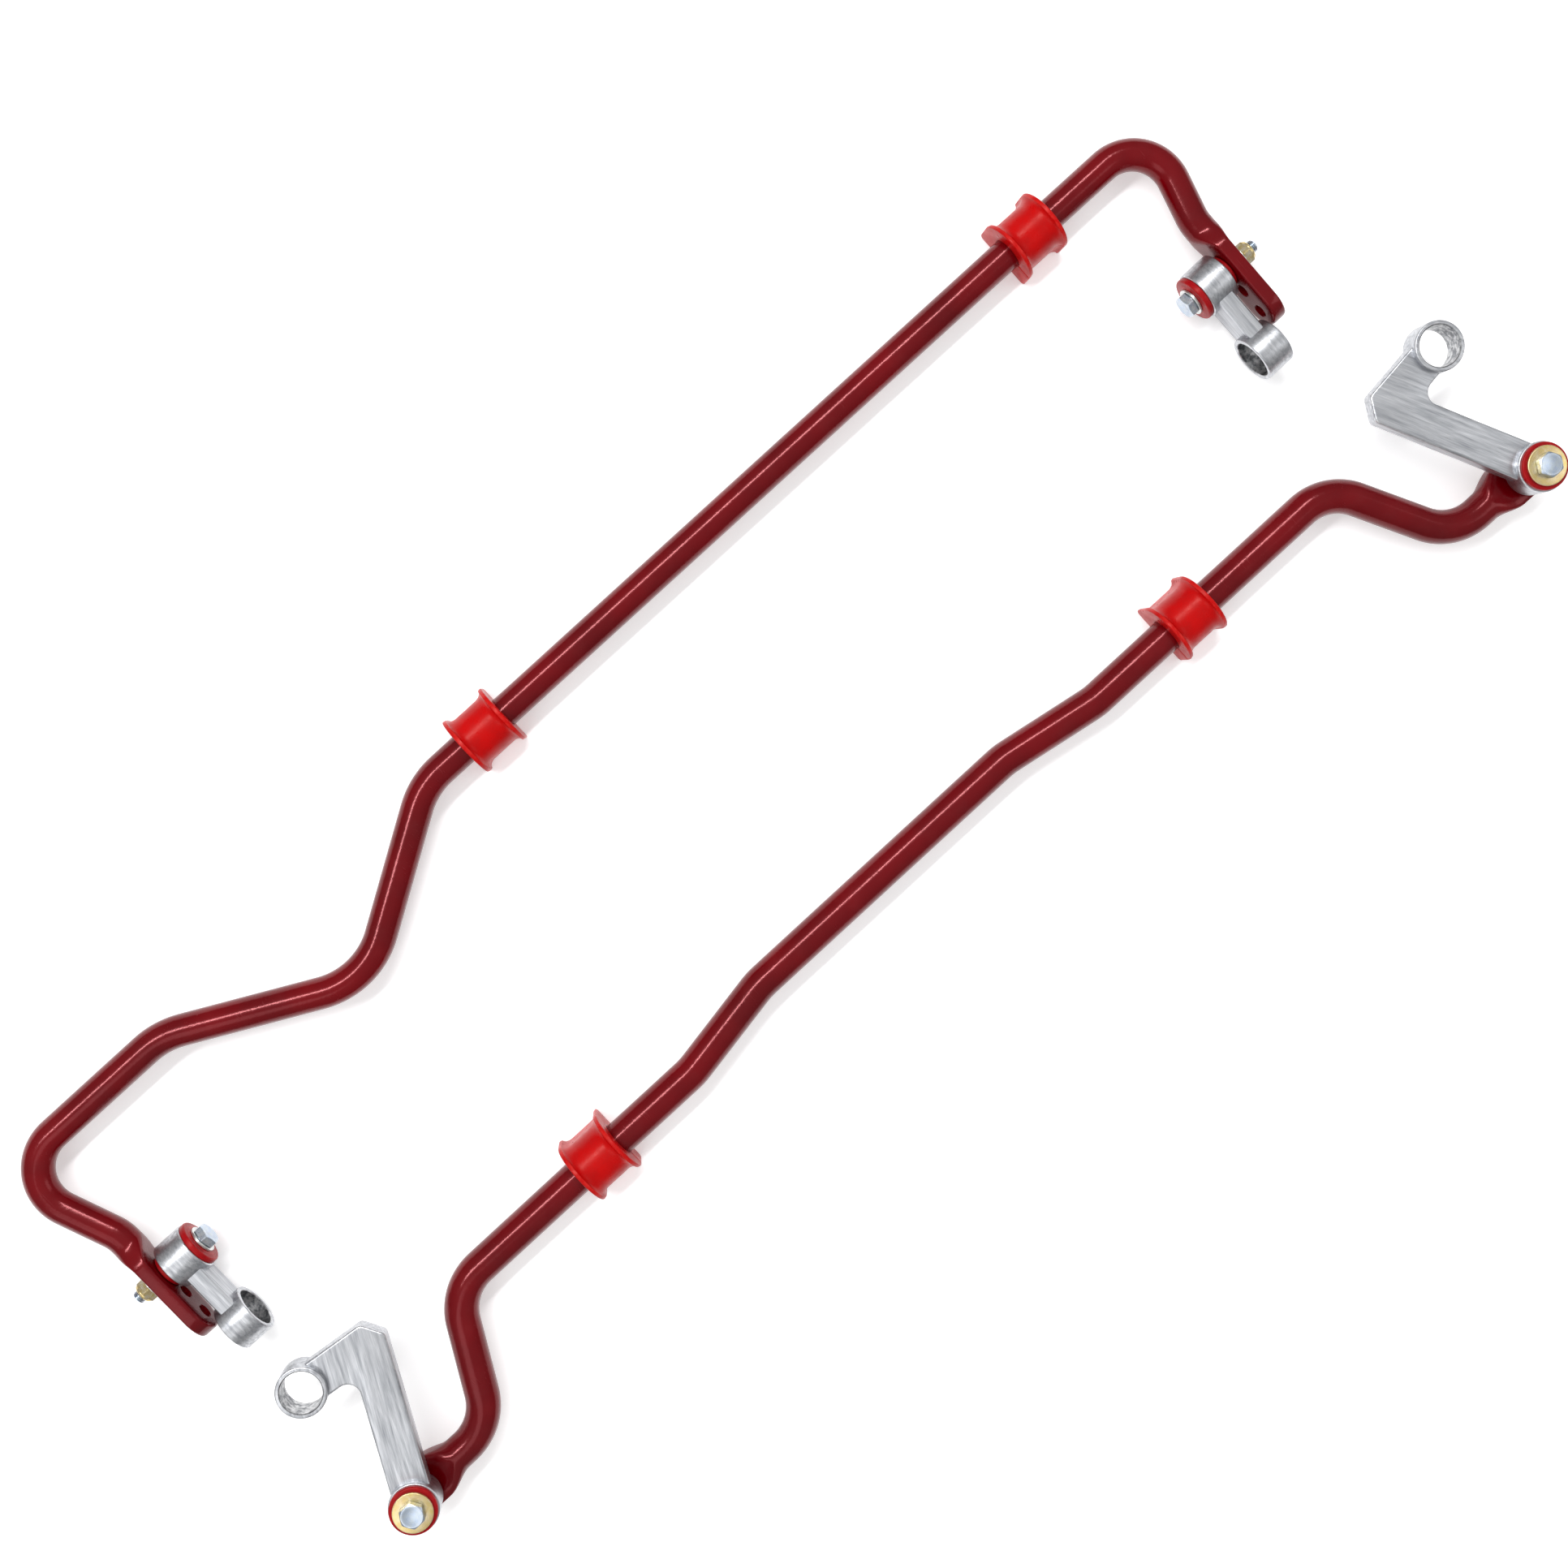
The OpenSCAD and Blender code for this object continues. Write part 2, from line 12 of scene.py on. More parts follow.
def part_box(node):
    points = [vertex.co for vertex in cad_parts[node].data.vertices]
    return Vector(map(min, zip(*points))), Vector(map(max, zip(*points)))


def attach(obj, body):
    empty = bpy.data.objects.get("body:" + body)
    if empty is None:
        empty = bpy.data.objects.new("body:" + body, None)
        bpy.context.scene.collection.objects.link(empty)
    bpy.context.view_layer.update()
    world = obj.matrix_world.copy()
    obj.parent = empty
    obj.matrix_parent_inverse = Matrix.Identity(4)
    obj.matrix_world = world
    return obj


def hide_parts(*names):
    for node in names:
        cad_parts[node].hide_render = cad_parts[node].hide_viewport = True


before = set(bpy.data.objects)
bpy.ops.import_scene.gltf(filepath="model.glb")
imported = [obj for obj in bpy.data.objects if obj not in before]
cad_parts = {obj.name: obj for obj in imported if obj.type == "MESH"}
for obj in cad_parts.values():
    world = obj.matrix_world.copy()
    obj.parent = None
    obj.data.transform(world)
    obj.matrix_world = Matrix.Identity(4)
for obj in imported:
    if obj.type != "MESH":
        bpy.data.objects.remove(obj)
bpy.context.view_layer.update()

# Shapes are worked out in millimetres and placed in metres
MM = 0.001
LEFT, RIGHT = -1, 1
SIDE_NAMES = {LEFT: "left", RIGHT: "right"}

# Front bar
FRONT_BAR_R = 13.0
FRONT_HALF = 582.0
FRONT_CORNER_X, FRONT_SHOULDER_X = 492.0, 442.0
FRONT_ARM = 92.0
FRONT_JOG, FRONT_JOG_X, FRONT_MID_HALF = 14.0, 204.0, 124.0
FRONT_ROUND_X, FRONT_FORGE = 524.0, 24.0
FRONT_HOLE_X = 563.0
FRONT_FLAT_T, FRONT_FLAT_W = 14.0, 38.0
ARM_BEND_R, JOG_BEND_R = 42.0, 62.0

# Rear bar, measured from the middle of the front bar and from its ends
REAR_BAR_R = 12.0
REAR_AXIS_Y = 382.0
REAR_TIPS = {LEFT: (-590.0, 192.0), RIGHT: (498.0, 210.0)}
REAR_LEAN = {LEFT: 32.0, RIGHT: 20.0}
REAR_ROUND, REAR_BEND, REAR_FORGE = 89.0, 97.0, 20.0
REAR_OUTER_Y = 376.0
DOGLEG_X, DOGLEG_DEPTH, DOGLEG_IN, DOGLEG_OUT = 332.0, 78.0, 127.0, 136.0
REAR_CORNER_R = 34.0
REAR_FLAT_T, REAR_FLAT_W = 12.0, 36.0
REAR_HOLES = (14.0, 34.0, 54.0)

# Saddle bushes
AXIS_Z = 24.0
SADDLE_LEN, SADDLE_WALL = 38.0, 8.0
SADDLE_FLANGE_H, SADDLE_FLANGE_T = 4.5, 3.0
SADDLE_SLIT, SADDLE_GAP = 0.8, 0.05
SADDLE_HEEL_R, SADDLE_RIM, GROOVE_FLOOR_X = 3.0, 1.1, 9.5

# Links
EYE_OD, EYE_BORE, EYE_T, WEB_T = 38.0, 31.0, 24.0, 14.0
FRONT_WEB_W, REAR_WEB_W = 29.0, 26.0
LONG_ARM, SHORT_ARM, ELBOW_ANGLE = 125.0, 57.0, math.radians(70)
REAR_LINK_CC = 63.0
FRONT_LINK_Z, REAR_LINK_Z = 24.0, 23.0
WEB_RIM, EYE_RIM, EYE_CHAMFER, BORED_SKIN = 1.6, 1.1, 0.8, 0.2
ELBOW_NIP, NIP_R, ELBOW_INNER_R, WEB_END_R = 17.0, 5.5, 9.5, 2.5

# Link bushes, sleeves and fasteners
BUSH_LEN, BUSH_FLANGE_D, BUSH_FLANGE_T, BUSH_TIP_D = 33.4, 36.0, 4.5, 27.0
SLEEVE_LEN, SLEEVE_OD, SLEEVE_BORE, SLEEVE_RIM, TUBE_CHAMFER = 34.0, 14.0, 10.5, 0.4, 0.4
BOLT_D, BOLT_LEN, HEX_AF, HEAD_H = 10.0, 65.0, 17.0, 6.4
THREAD_LEN, THREAD_PITCH, THREAD_DEPTH = 30.0, 1.5, 0.8
NUT_H, COLLAR_H, COLLAR_D, COLLAR_WALL = 7.5, 2.5, 16.0, 1.2
HOLE_D = 10.5
WASHER_D, WASHER_T = 22.0, 2.0
LARGE_WASHER_D, LARGE_WASHER_T = 30.0, 2.5
HEX_LAND, HEX_CORNER_R, BOLT_FACE = 0.95, 0.6, 0.93
DISH_R, DISH_SLOPE, DISH_DEPTH = HEX_AF * 0.33, 0.8, 0.25
THREAD_CREST_R, TIP_CHAMFER, VALLEY_SHARE = BOLT_D / 2 - 0.06, 1.1, 0.42
NUT_BORE_R, NUT_CHAMFER, COLLAR_ROLL_R = BOLT_D / 2 + 0.05, 0.7, 1.6


# ---------------------------------------------------------------- mesh making

OUTLINE_STEP = math.radians(9)
MERGE_M = 1e-7
EDGE_START, EDGE_GAIN = 0.03, 6
TOOL_REACH = 1.2


def unit(v):
    return v / np.linalg.norm(v)


def turned(v, angle):
    """A flat vector turned by an angle."""
    c, s = math.cos(angle), math.sin(angle)
    return np.array([v[0] * c - v[1] * s, v[0] * s + v[1] * c])


def corner_arc(before, corner, after, radius, step):
    """Points and headings of the arc that rounds a corner, its first point included."""
    way_in, way_out = unit(corner - before), unit(after - corner)
    turn = math.atan2(way_in[0] * way_out[1] - way_in[1] * way_out[0], way_in @ way_out)
    start = corner - radius * math.tan(abs(turn) / 2) * way_in
    side = turned(way_in, math.copysign(math.pi / 2, turn))
    steps = max(2, math.ceil(abs(turn) / step))
    angles = [turn * k / steps for k in range(steps + 1)]
    middle = start + radius * side
    heading = math.atan2(way_in[1], way_in[0])
    return [middle - radius * turned(side, a) for a in angles], [heading + a for a in angles]


def rounded_outline(corners):
    """Closed outline through corners given as (x, y, radius)."""
    flat = [np.array(c[:2], float) for c in corners]
    points = []
    for i, (_, _, radius) in enumerate(corners):
        after = flat[(i + 1) % len(flat)]
        points += corner_arc(flat[i - 1], flat[i], after, radius, OUTLINE_STEP)[0]
    return np.array(points)


def new_piece(name, verts, faces, sharp=35.0):
    """A smooth-shaded mesh from points in millimetres, its faces turned outwards."""
    mesh = bpy.data.meshes.new(name)
    mesh.from_pydata((np.asarray(verts, float) * MM).tolist(), [], faces)
    work = bmesh.new()
    work.from_mesh(mesh)
    bmesh.ops.remove_doubles(work, verts=work.verts, dist=MERGE_M)
    bmesh.ops.recalc_face_normals(work, faces=work.faces)
    work.to_mesh(mesh)
    work.free()
    piece = bpy.data.objects.new(name, mesh)
    bpy.context.scene.collection.objects.link(piece)
    smooth(mesh, sharp)
    return piece


def smooth(mesh, sharp):
    mesh.shade_smooth()
    mesh.set_sharp_from_angle(angle=math.radians(sharp))


def ring_faces(rows, around, closed_rows=False):
    """Quads that join rows of points, each row a closed ring."""
    last = rows if closed_rows else rows - 1
    faces = []
    for i in range(last):
        a, b = i * around, ((i + 1) % rows) * around
        for j in range(around):
            k = (j + 1) % around
            faces.append((a + j, a + k, b + k, b + j))
    return faces


def capped_faces(rows, around):
    """Quads that join rows of points, and a flat face over the first and the last row."""
    first, last = range(around), range((rows - 1) * around, rows * around)
    return ring_faces(rows, around) + [tuple(first), tuple(last)]


def directions(around):
    """Even directions round a circle: their angles, cosines and sines."""
    angles = np.linspace(0, 2 * math.pi, around, endpoint=False)
    return angles, np.cos(angles), np.sin(angles)


def ring(r, z, c, s):
    """A row of points at radius r and height z."""
    return np.column_stack([r * c, r * s, np.full(len(c), z)])


def lathe(profile, around=72, closed=True):
    """An (r, z) profile spun about Z. An open one starts and ends in a disc."""
    _, c, s = directions(around)
    verts = np.concatenate([ring(r, z, c, s) for r, z in profile])
    if closed:
        return verts, ring_faces(len(profile), around, True)
    return verts, capped_faces(len(profile), around)


def bore_tool(bore, thick, chamfer, around):
    """A bore's cutter along Z, which leaves a chamfer at each face."""
    r, half, wide = bore / 2, thick / 2, chamfer + TOOL_REACH
    profile = [(r + wide, -half - TOOL_REACH), (r, -half + chamfer),
               (r, half - chamfer), (r + wide, half + TOOL_REACH)]
    return lathe(profile, around, closed=False)


def joined(*parts):
    """One list of points and faces from several."""
    verts, faces, count = [], [], 0
    for v, f in parts:
        verts.append(np.asarray(v, float))
        faces += [tuple(i + count for i in face) for face in f]
        count += len(v)
    return np.concatenate(verts), faces


def cut(piece, tool, operation="DIFFERENCE", sharp=35.0):
    """Cuts the tool out of a piece, or joins it on, and removes the tool."""
    change = piece.modifiers.new("cut", "BOOLEAN")
    change.operation = operation
    change.object = tool
    change.solver = "EXACT"
    bpy.context.view_layer.update()
    shown = piece.evaluated_get(bpy.context.evaluated_depsgraph_get())
    done = bpy.data.meshes.new_from_object(shown)
    piece.modifiers.remove(change)
    piece.data = done
    done.name = piece.name
    bpy.data.objects.remove(tool)
    smooth(done, sharp)


def mark_edges(piece):
    """Stores how much each point stands out as an edge, from 0 to 1, for the rubbed edges."""
    work = bmesh.new()
    work.from_mesh(piece.data)
    work.normal_update()
    worn = []
    for v in work.verts:
        falls = [v.normal.dot((v.co - e.other_vert(v).co).normalized()) for e in v.link_edges]
        bulge = sum(falls) / len(falls) if falls else 0.0
        worn.append(min(1.0, max(0.0, (bulge - EDGE_START) * EDGE_GAIN)))
    work.free()
    layer = piece.data.attributes.new("edge", "FLOAT", "POINT")
    layer.data.foreach_set("value", worn)


def fit(piece, place, body, node, finish):
    """Puts a finished piece in its place, on its body, instead of its CAD node."""
    piece.matrix_world = place
    mark_edges(piece)
    piece.data.materials.clear()
    piece.data.materials.append(finish)
    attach(piece, body)
    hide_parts(node)


# ---------------------------------------------------------------- bars

AROUND_BAR = 64
STRAIGHT_STEP, BEND_STEP = 9.0, math.radians(3)
ROUND, SQUARISH = 2, 7
FLAT_RIM, LAST_ANGLE = 2.6, math.radians(88.5)
FORGE_ROWS, FLAT_ROWS, TIP_ROWS = 14, 4, 24
BOLT_HOLE_CHAMFER = 0.7


def centre_line(corners, radii):
    """Points and headings along a bent bar, from its first corner to its last."""
    flat = [np.array(c, float) for c in corners]
    points, headings = [flat[0]], [math.atan2(*(flat[1] - flat[0])[::-1])]
    for i in range(1, len(flat)):
        if i < len(flat) - 1:
            arc, turns = corner_arc(flat[i - 1], flat[i], flat[i + 1], radii[i], BEND_STEP)
        else:
            arc, turns = [flat[-1]], [headings[-1]]
        reach = np.linalg.norm(arc[0] - points[-1])
        steps = max(1, round(reach / STRAIGHT_STEP))
        for k in range(1, steps):
            points.append(points[-1] + (arc[0] - points[-1]) / (steps - k + 1))
            headings.append(headings[-1])
        points += arc
        headings += turns
    return points, headings


def forged_sections(bar_r, forge, flat, broad, thin):
    """(distance, half breadth, half thickness, squareness) from the round bar to the tip."""
    sections = []
    for k in range(1, FORGE_ROWS + 1):
        t = k / FORGE_ROWS
        ease = t * t * (3 - 2 * t)
        sections.append((forge * t, bar_r + (broad - bar_r) * ease,
                         bar_r + (thin - bar_r) * ease, ROUND + (SQUARISH - ROUND) * ease))
    straight = flat - broad
    for k in range(1, FLAT_ROWS + 1):
        sections.append((forge + straight * k / FLAT_ROWS, broad, thin, SQUARISH))
    for k in range(1, TIP_ROWS + 1):
        angle = LAST_ANGLE * k / TIP_ROWS
        inside = max(0.0, FLAT_RIM - broad * (1 - math.sin(angle)))
        drop = FLAT_RIM - math.sqrt(max(0.0, FLAT_RIM ** 2 - inside ** 2))
        sections.append((forge + straight + broad * math.sin(angle),
                         broad * math.cos(angle), thin - drop, SQUARISH))
    return sections


def bar_skin(points, headings, sizes):
    """Skin of a bar whose section is (half width, half height, squareness) at each point."""
    _, c, s = directions(AROUND_BAR)
    rows = []
    for point, heading, (wide, high, square) in zip(points, headings, sizes):
        across = np.sign(c) * np.abs(c) ** (2 / square) * wide
        up = np.sign(s) * np.abs(s) ** (2 / square) * high
        rows.append(np.column_stack([point[0] - math.sin(heading) * across,
                                     point[1] + math.cos(heading) * across, up]))
    return np.concatenate(rows), capped_faces(len(rows), AROUND_BAR)


def forged_bar(name, corners, radii, bar_r, ends, upright):
    """A bent round bar with a forged flat end at each side, flat faces up or upright."""
    points, headings = centre_line(corners, radii)
    sizes = [(bar_r, bar_r, ROUND)] * len(points)
    for last in (True, False):
        way = headings[-1] if last else headings[0] + math.pi
        base = points[-1] if last else points[0]
        new_points, new_sizes = [], []
        for reach, broad, thin, square in ends:
            new_points.append(base + reach * np.array([math.cos(way), math.sin(way)]))
            new_sizes.append((thin, broad, square) if upright else (broad, thin, square))
        same = [headings[-1] if last else headings[0]] * len(ends)
        if last:
            points, headings, sizes = points + new_points, headings + same, sizes + new_sizes
        else:
            points = new_points[::-1] + points
            headings, sizes = same + headings, new_sizes[::-1] + sizes
    return new_piece(name, *bar_skin(points, headings, sizes), sharp=40)


def hole_tool(thick):
    return bore_tool(HOLE_D, thick, BOLT_HOLE_CHAMFER, 48)


def front_bar(coat):
    right = [(FRONT_MID_HALF, FRONT_ARM + FRONT_JOG), (FRONT_JOG_X, FRONT_ARM),
             (FRONT_SHOULDER_X, FRONT_ARM), (FRONT_CORNER_X, 0), (FRONT_ROUND_X, 0)]
    radii = [JOG_BEND_R, JOG_BEND_R, ARM_BEND_R, ARM_BEND_R, 0]
    corners = [(-x, y) for x, y in reversed(right)] + right
    flat = FRONT_HALF - FRONT_ROUND_X - FRONT_FORGE
    ends = forged_sections(FRONT_BAR_R, FRONT_FORGE, flat, FRONT_FLAT_W / 2, FRONT_FLAT_T / 2)
    bar = forged_bar("FrontBar", corners, radii[::-1] + radii, FRONT_BAR_R, ends, upright=False)
    holes = []
    for side in (LEFT, RIGHT):
        verts, faces = hole_tool(FRONT_FLAT_T)
        holes.append((verts + np.array([side * FRONT_HOLE_X, 0, 0]), faces))
    cut(bar, new_piece("FrontBarHoles", *joined(*holes)), sharp=40)
    fit(bar, from_front_ends, "front_bar", "front_bar", coat)


def rear_bar(coat):
    left_x, left_y = REAR_TIPS[LEFT]
    right_x, right_y = REAR_TIPS[RIGHT]
    corners = [(left_x, left_y + REAR_ROUND), (left_x, left_y + REAR_BEND),
               (left_x - REAR_LEAN[LEFT], REAR_OUTER_Y),
               (-DOGLEG_X - DOGLEG_OUT, REAR_OUTER_Y),
               (-DOGLEG_X, REAR_AXIS_Y - DOGLEG_DEPTH),
               (-DOGLEG_X + DOGLEG_IN, REAR_AXIS_Y),
               (right_x + REAR_LEAN[RIGHT], REAR_AXIS_Y),
               (right_x, right_y + REAR_BEND), (right_x, right_y + REAR_ROUND)]
    radii = [0] + [REAR_CORNER_R] * 2 + [JOG_BEND_R] * 3 + [REAR_CORNER_R] * 2 + [0]
    ends = forged_sections(REAR_BAR_R, REAR_FORGE, REAR_ROUND - REAR_FORGE,
                           REAR_FLAT_W / 2, REAR_FLAT_T / 2)
    bar = forged_bar("RearBar", corners, radii, REAR_BAR_R, ends, upright=True)
    holes = []
    for x, y in REAR_TIPS.values():
        for reach in REAR_HOLES:
            verts, faces = hole_tool(REAR_FLAT_T)
            holes.append((verts[:, [2, 0, 1]] + np.array([x, y + reach, 0]), faces))
    cut(bar, new_piece("RearBarHoles", *joined(*holes)), sharp=40)
    fit(bar, from_front_ends, "rear_bar", "rear_bar", coat)


# ---------------------------------------------------------------- saddle bushes


def saddle_outline(r, base, half_slit):
    """Open outline of a bush's end, from the slit's upper lip round to its lower lip."""
    lip = math.asin(half_slit / r)
    heel = SADDLE_HEEL_R
    points = [(r * math.cos(a), r * math.sin(a)) for a in np.linspace(math.pi - lip, 0, 49)]
    points += [(r, -t * (base - heel)) for t in (0.25, 0.5, 0.75, 1.0)]
    for a in np.linspace(0, math.pi / 2, 7)[1:]:
        points.append((r - heel + heel * math.cos(a), -base + heel - heel * math.sin(a)))
    points += [(t * (r - heel), -base) for t in np.linspace(1, -1, 13)[1:-1]]
    for a in np.linspace(math.pi / 2, math.pi, 7)[:-1]:
        points.append((-r + heel + heel * math.cos(a), -base + heel - heel * math.sin(a)))
    points += [(-r, -t * (base - heel)) for t in (1.0, 0.75, 0.5, 0.25)]
    points.append((-r * math.cos(lip), -half_slit))
    return np.array(points)


def saddle_profile(groove_r):
    """(x, outer radius, rounding) along a bush: a hollow groove between flared flanges."""
    half, flange_r, rim = SADDLE_LEN / 2, groove_r + SADDLE_FLANGE_H, SADDLE_RIM
    stations = []
    for a in np.linspace(0, math.pi / 2, 6):
        stations.append((half - rim + rim * math.cos(a), flange_r, rim * (1 - math.sin(a))))
    shoulder = half - SADDLE_FLANGE_T
    for t in np.linspace(1, 0, 16):
        rise = (1 - math.sqrt(1 - min(1.0, t * 0.995) ** 2)) * SADDLE_FLANGE_H
        x = GROOVE_FLOOR_X + (shoulder - GROOVE_FLOOR_X) * t
        stations.append((x, groove_r + rise, 0.0))
    stations += [(6.0, groove_r, 0.0), (3.0, groove_r, 0.0)]
    return stations + [(0.0, groove_r, 0.0)] + [(-x, r, e) for x, r, e in stations[::-1]]


def saddle_bush(name, bar_r):
    """D-shaped bush about the bar's axis, along X, with its slit on the -Y side."""
    rows = []
    bore, half_slit = bar_r + SADDLE_GAP, SADDLE_SLIT / 2
    for x, r, rim in saddle_profile(bar_r + SADDLE_WALL):
        outer = saddle_outline(r - rim, AXIS_Z - rim, half_slit + rim * 0.5)
        inner_r = bore + max(0.0, rim - 0.3)
        way = np.arctan2(outer[:, 1], outer[:, 0])
        inner = np.column_stack([np.cos(way), np.sin(way)]) * inner_r
        for end in (0, -1):
            high = math.copysign(half_slit + rim * 0.5, outer[end, 1])
            inner[end] = (-math.sqrt(inner_r ** 2 - high ** 2), high)
        ring = np.concatenate([outer, inner[::-1]])
        rows.append(np.column_stack([np.full(len(ring), x), ring]))
    around = len(rows[0])
    faces = ring_faces(len(rows), around)
    for row in (0, len(rows) - 1):
        at = row * around
        for j in range(around // 2 - 1):
            faces.append((at + j, at + j + 1, at + around - 2 - j, at + around - 1 - j))
    return new_piece(name, np.concatenate(rows), faces, sharp=42)


def saddle_bushes(urethane):
    for end, bar_r in (("front", FRONT_BAR_R), ("rear", REAR_BAR_R)):
        for side in SIDE_NAMES.values():
            node = f"{end}_saddle_bush_{side}"
            low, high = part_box(node)
            place = Matrix.Translation(((low.x + high.x) / 2, (low.y + high.y) / 2, AXIS_Z * MM))
            bush = saddle_bush(f"{end.title()}SaddleBush{side.title()}", bar_r)
            fit(bush, place, "saddle_bushes", node, urethane)


# ---------------------------------------------------------------- links


def plate(outline, half, rim):
    """Flat plate over an outline, with rounded rims on both faces."""
    before, after = np.roll(outline, 1, 0), np.roll(outline, -1, 0)
    way_in = (outline - before) / np.linalg.norm(outline - before, axis=1)[:, None]
    way_out = (after - outline) / np.linalg.norm(after - outline, axis=1)[:, None]
    normal_in = np.column_stack([way_in[:, 1], -way_in[:, 0]])
    normal_out = np.column_stack([way_out[:, 1], -way_out[:, 0]])
    miter = (normal_in + normal_out) / (1 + (normal_in * normal_out).sum(1))[:, None]
    area = (outline[:, 0] * after[:, 1] - after[:, 0] * outline[:, 1]).sum()
    outward = miter * math.copysign(1, area)
    rows = []
    for a in np.linspace(math.pi / 2, 0, 5):
        flat = outline - outward * rim * (1 - math.cos(a))
        rows.append(np.column_stack([flat, np.full(len(flat), -half + rim - rim * math.sin(a))]))
    rows += [row * np.array([1, 1, -1]) for row in rows[::-1]]
    return np.concatenate(rows), capped_faces(len(rows), len(outline))


def rim_profile(r, half, rim):
    """Open profile of a disc with rounded rims."""
    low = [(r - rim + rim * math.cos(a), -half + rim - rim * math.sin(a))
           for a in np.linspace(math.pi / 2, 0, 6)]
    return low + [(x, -z) for x, z in low[::-1]]


def link_from(name, outline, open_eye):
    """Link with a web of that outline and a raised, bored eye at each end."""
    link = new_piece(name, *plate(outline, WEB_T / 2, WEB_RIM))
    eyes = ((0.0, 0.0), open_eye)
    for at in eyes:
        verts, faces = lathe(rim_profile(EYE_OD / 2, EYE_T / 2, EYE_RIM), 96, closed=False)
        cut(link, new_piece(name + "Boss", verts + np.array([*at, 0.0]), faces), "UNION")
    for at in eyes:
        verts, faces = bore_tool(EYE_BORE, EYE_T, EYE_CHAMFER, 96)
        cut(link, new_piece(name + "Bore", verts + np.array([*at, 0.0]), faces), sharp=32)
    mark_painted_bore_shade(link, eyes)
    return link


def mark_painted_bore_shade(link, eyes):
    """Stores where a link is bored, for the painted shade on its bore walls."""
    bored = []
    for v in link.data.vertices:
        reach = min(math.hypot(v.co.x / MM - x, v.co.y / MM - y) for x, y in eyes)
        bored.append(1.0 if reach < EYE_BORE / 2 + BORED_SKIN else 0.0)
    layer = link.data.attributes.new("bored", "FLOAT", "POINT")
    layer.data.foreach_set("value", bored)


def crossing(p, u, q, v):
    """Where the lines p + t u and q + t v cross."""
    t = np.linalg.solve(np.column_stack([u, -v]), q - p)[0]
    return p + t * u


def open_eye_of_angled_link(side):
    """Where the open eye is when the long arm lies along Y from the bush eye."""
    return side * SHORT_ARM * math.sin(ELBOW_ANGLE), LONG_ARM - SHORT_ARM * math.cos(ELBOW_ANGLE)


def angled_link(name, side):
    """Hook-shaped front link: its bush eye is at the origin and its long arm along Y."""
    start, elbow = np.zeros(2), np.array([0.0, LONG_ARM])
    end = np.array(open_eye_of_angled_link(RIGHT))
    long_way, short_way = unit(elbow - start), unit(end - elbow)
    long_out, short_out = turned(long_way, math.pi / 2), turned(short_way, math.pi / 2)
    half = FRONT_WEB_W / 2
    inner = crossing(start - long_out * half, long_way, end - short_out * half, short_way)
    outer = crossing(start + long_out * half, long_way, end + short_out * half, short_way)
    corners = [(*(start - long_out * half), WEB_END_R), (*inner, ELBOW_INNER_R),
               (*(end - short_out * half), WEB_END_R), (*(end + short_out * half), WEB_END_R),
               (*(outer + short_way * ELBOW_NIP), NIP_R), (*(outer - long_way * ELBOW_NIP), NIP_R),
               (*(start + long_out * half), WEB_END_R)]
    outline = rounded_outline(corners) * np.array([side, 1])
    return link_from(name, outline, open_eye_of_angled_link(side))


def straight_link(name):
    """Rear link: its bush eye is at the origin and its open eye along -Y."""
    half, reach = REAR_WEB_W / 2, REAR_LINK_CC
    corners = [(-half, 0, WEB_END_R), (-half, -reach, WEB_END_R),
               (half, -reach, WEB_END_R), (half, 0, WEB_END_R)]
    return link_from(name, rounded_outline(corners), (0.0, -reach))


# ---------------------------------------------------------------- bolt stacks


def tube_profile(r, bore, low, high, rim):
    """Closed profile of a bored round piece with rounded outer rims and chamfered bore."""
    mouth = bore + TUBE_CHAMFER
    outer = [(r - rim + rim * math.cos(a), low + rim - rim * math.sin(a))
             for a in np.linspace(math.pi / 2, 0, 6)]
    outer += [(r - rim + rim * math.cos(a), high - rim + rim * math.sin(a))
              for a in np.linspace(0, math.pi / 2, 6)]
    return outer + [(mouth, high), (bore, high - TUBE_CHAMFER),
                    (bore, low + TUBE_CHAMFER), (mouth, low)]


def link_bush():
    """Stepped urethane bush: narrow tip, shank in the eye, and a flange on the outer side."""
    tip, shank, flange = BUSH_TIP_D / 2, EYE_BORE / 2 - 0.04, BUSH_FLANGE_D / 2
    half, seat, bore = BUSH_LEN / 2, EYE_T / 2, SLEEVE_OD / 2 + 0.05
    top = seat + BUSH_FLANGE_T
    arc = np.linspace(0, math.pi / 2, 6)
    profile = [(tip - 1.4 + 1.4 * math.sin(a), -half + 1.4 - 1.4 * math.cos(a)) for a in arc]
    profile += [(tip + 0.8 - 0.8 * math.cos(a), -seat - 0.8 + 0.8 * math.sin(a)) for a in arc]
    profile += [(shank - 0.5, -seat), (shank, -seat + 0.5), (shank, seat)]
    profile += [(flange - 0.7 + 0.7 * math.sin(a), seat + 0.7 - 0.7 * math.cos(a)) for a in arc]
    profile += [(flange - 1.5 + 1.5 * math.cos(a), top - 1.5 + 1.5 * math.sin(a)) for a in arc]
    profile += [(tip + 0.4, top), (tip, half), (bore + 0.6, half), (bore, half - 0.6),
                (bore, -half + 0.6), (bore + 0.6, -half)]
    return lathe(profile, 96)


def hexagon(angles, across_flats):
    """Distance to a hexagon's side in each direction, its corners slightly rounded."""
    off = (angles % (math.pi / 3)) - math.pi / 6
    side = across_flats / 2 / np.cos(off)
    tip = across_flats / math.sqrt(3)
    return np.minimum(side, tip - HEX_CORNER_R * (1 / math.cos(math.pi / 6) - 1))


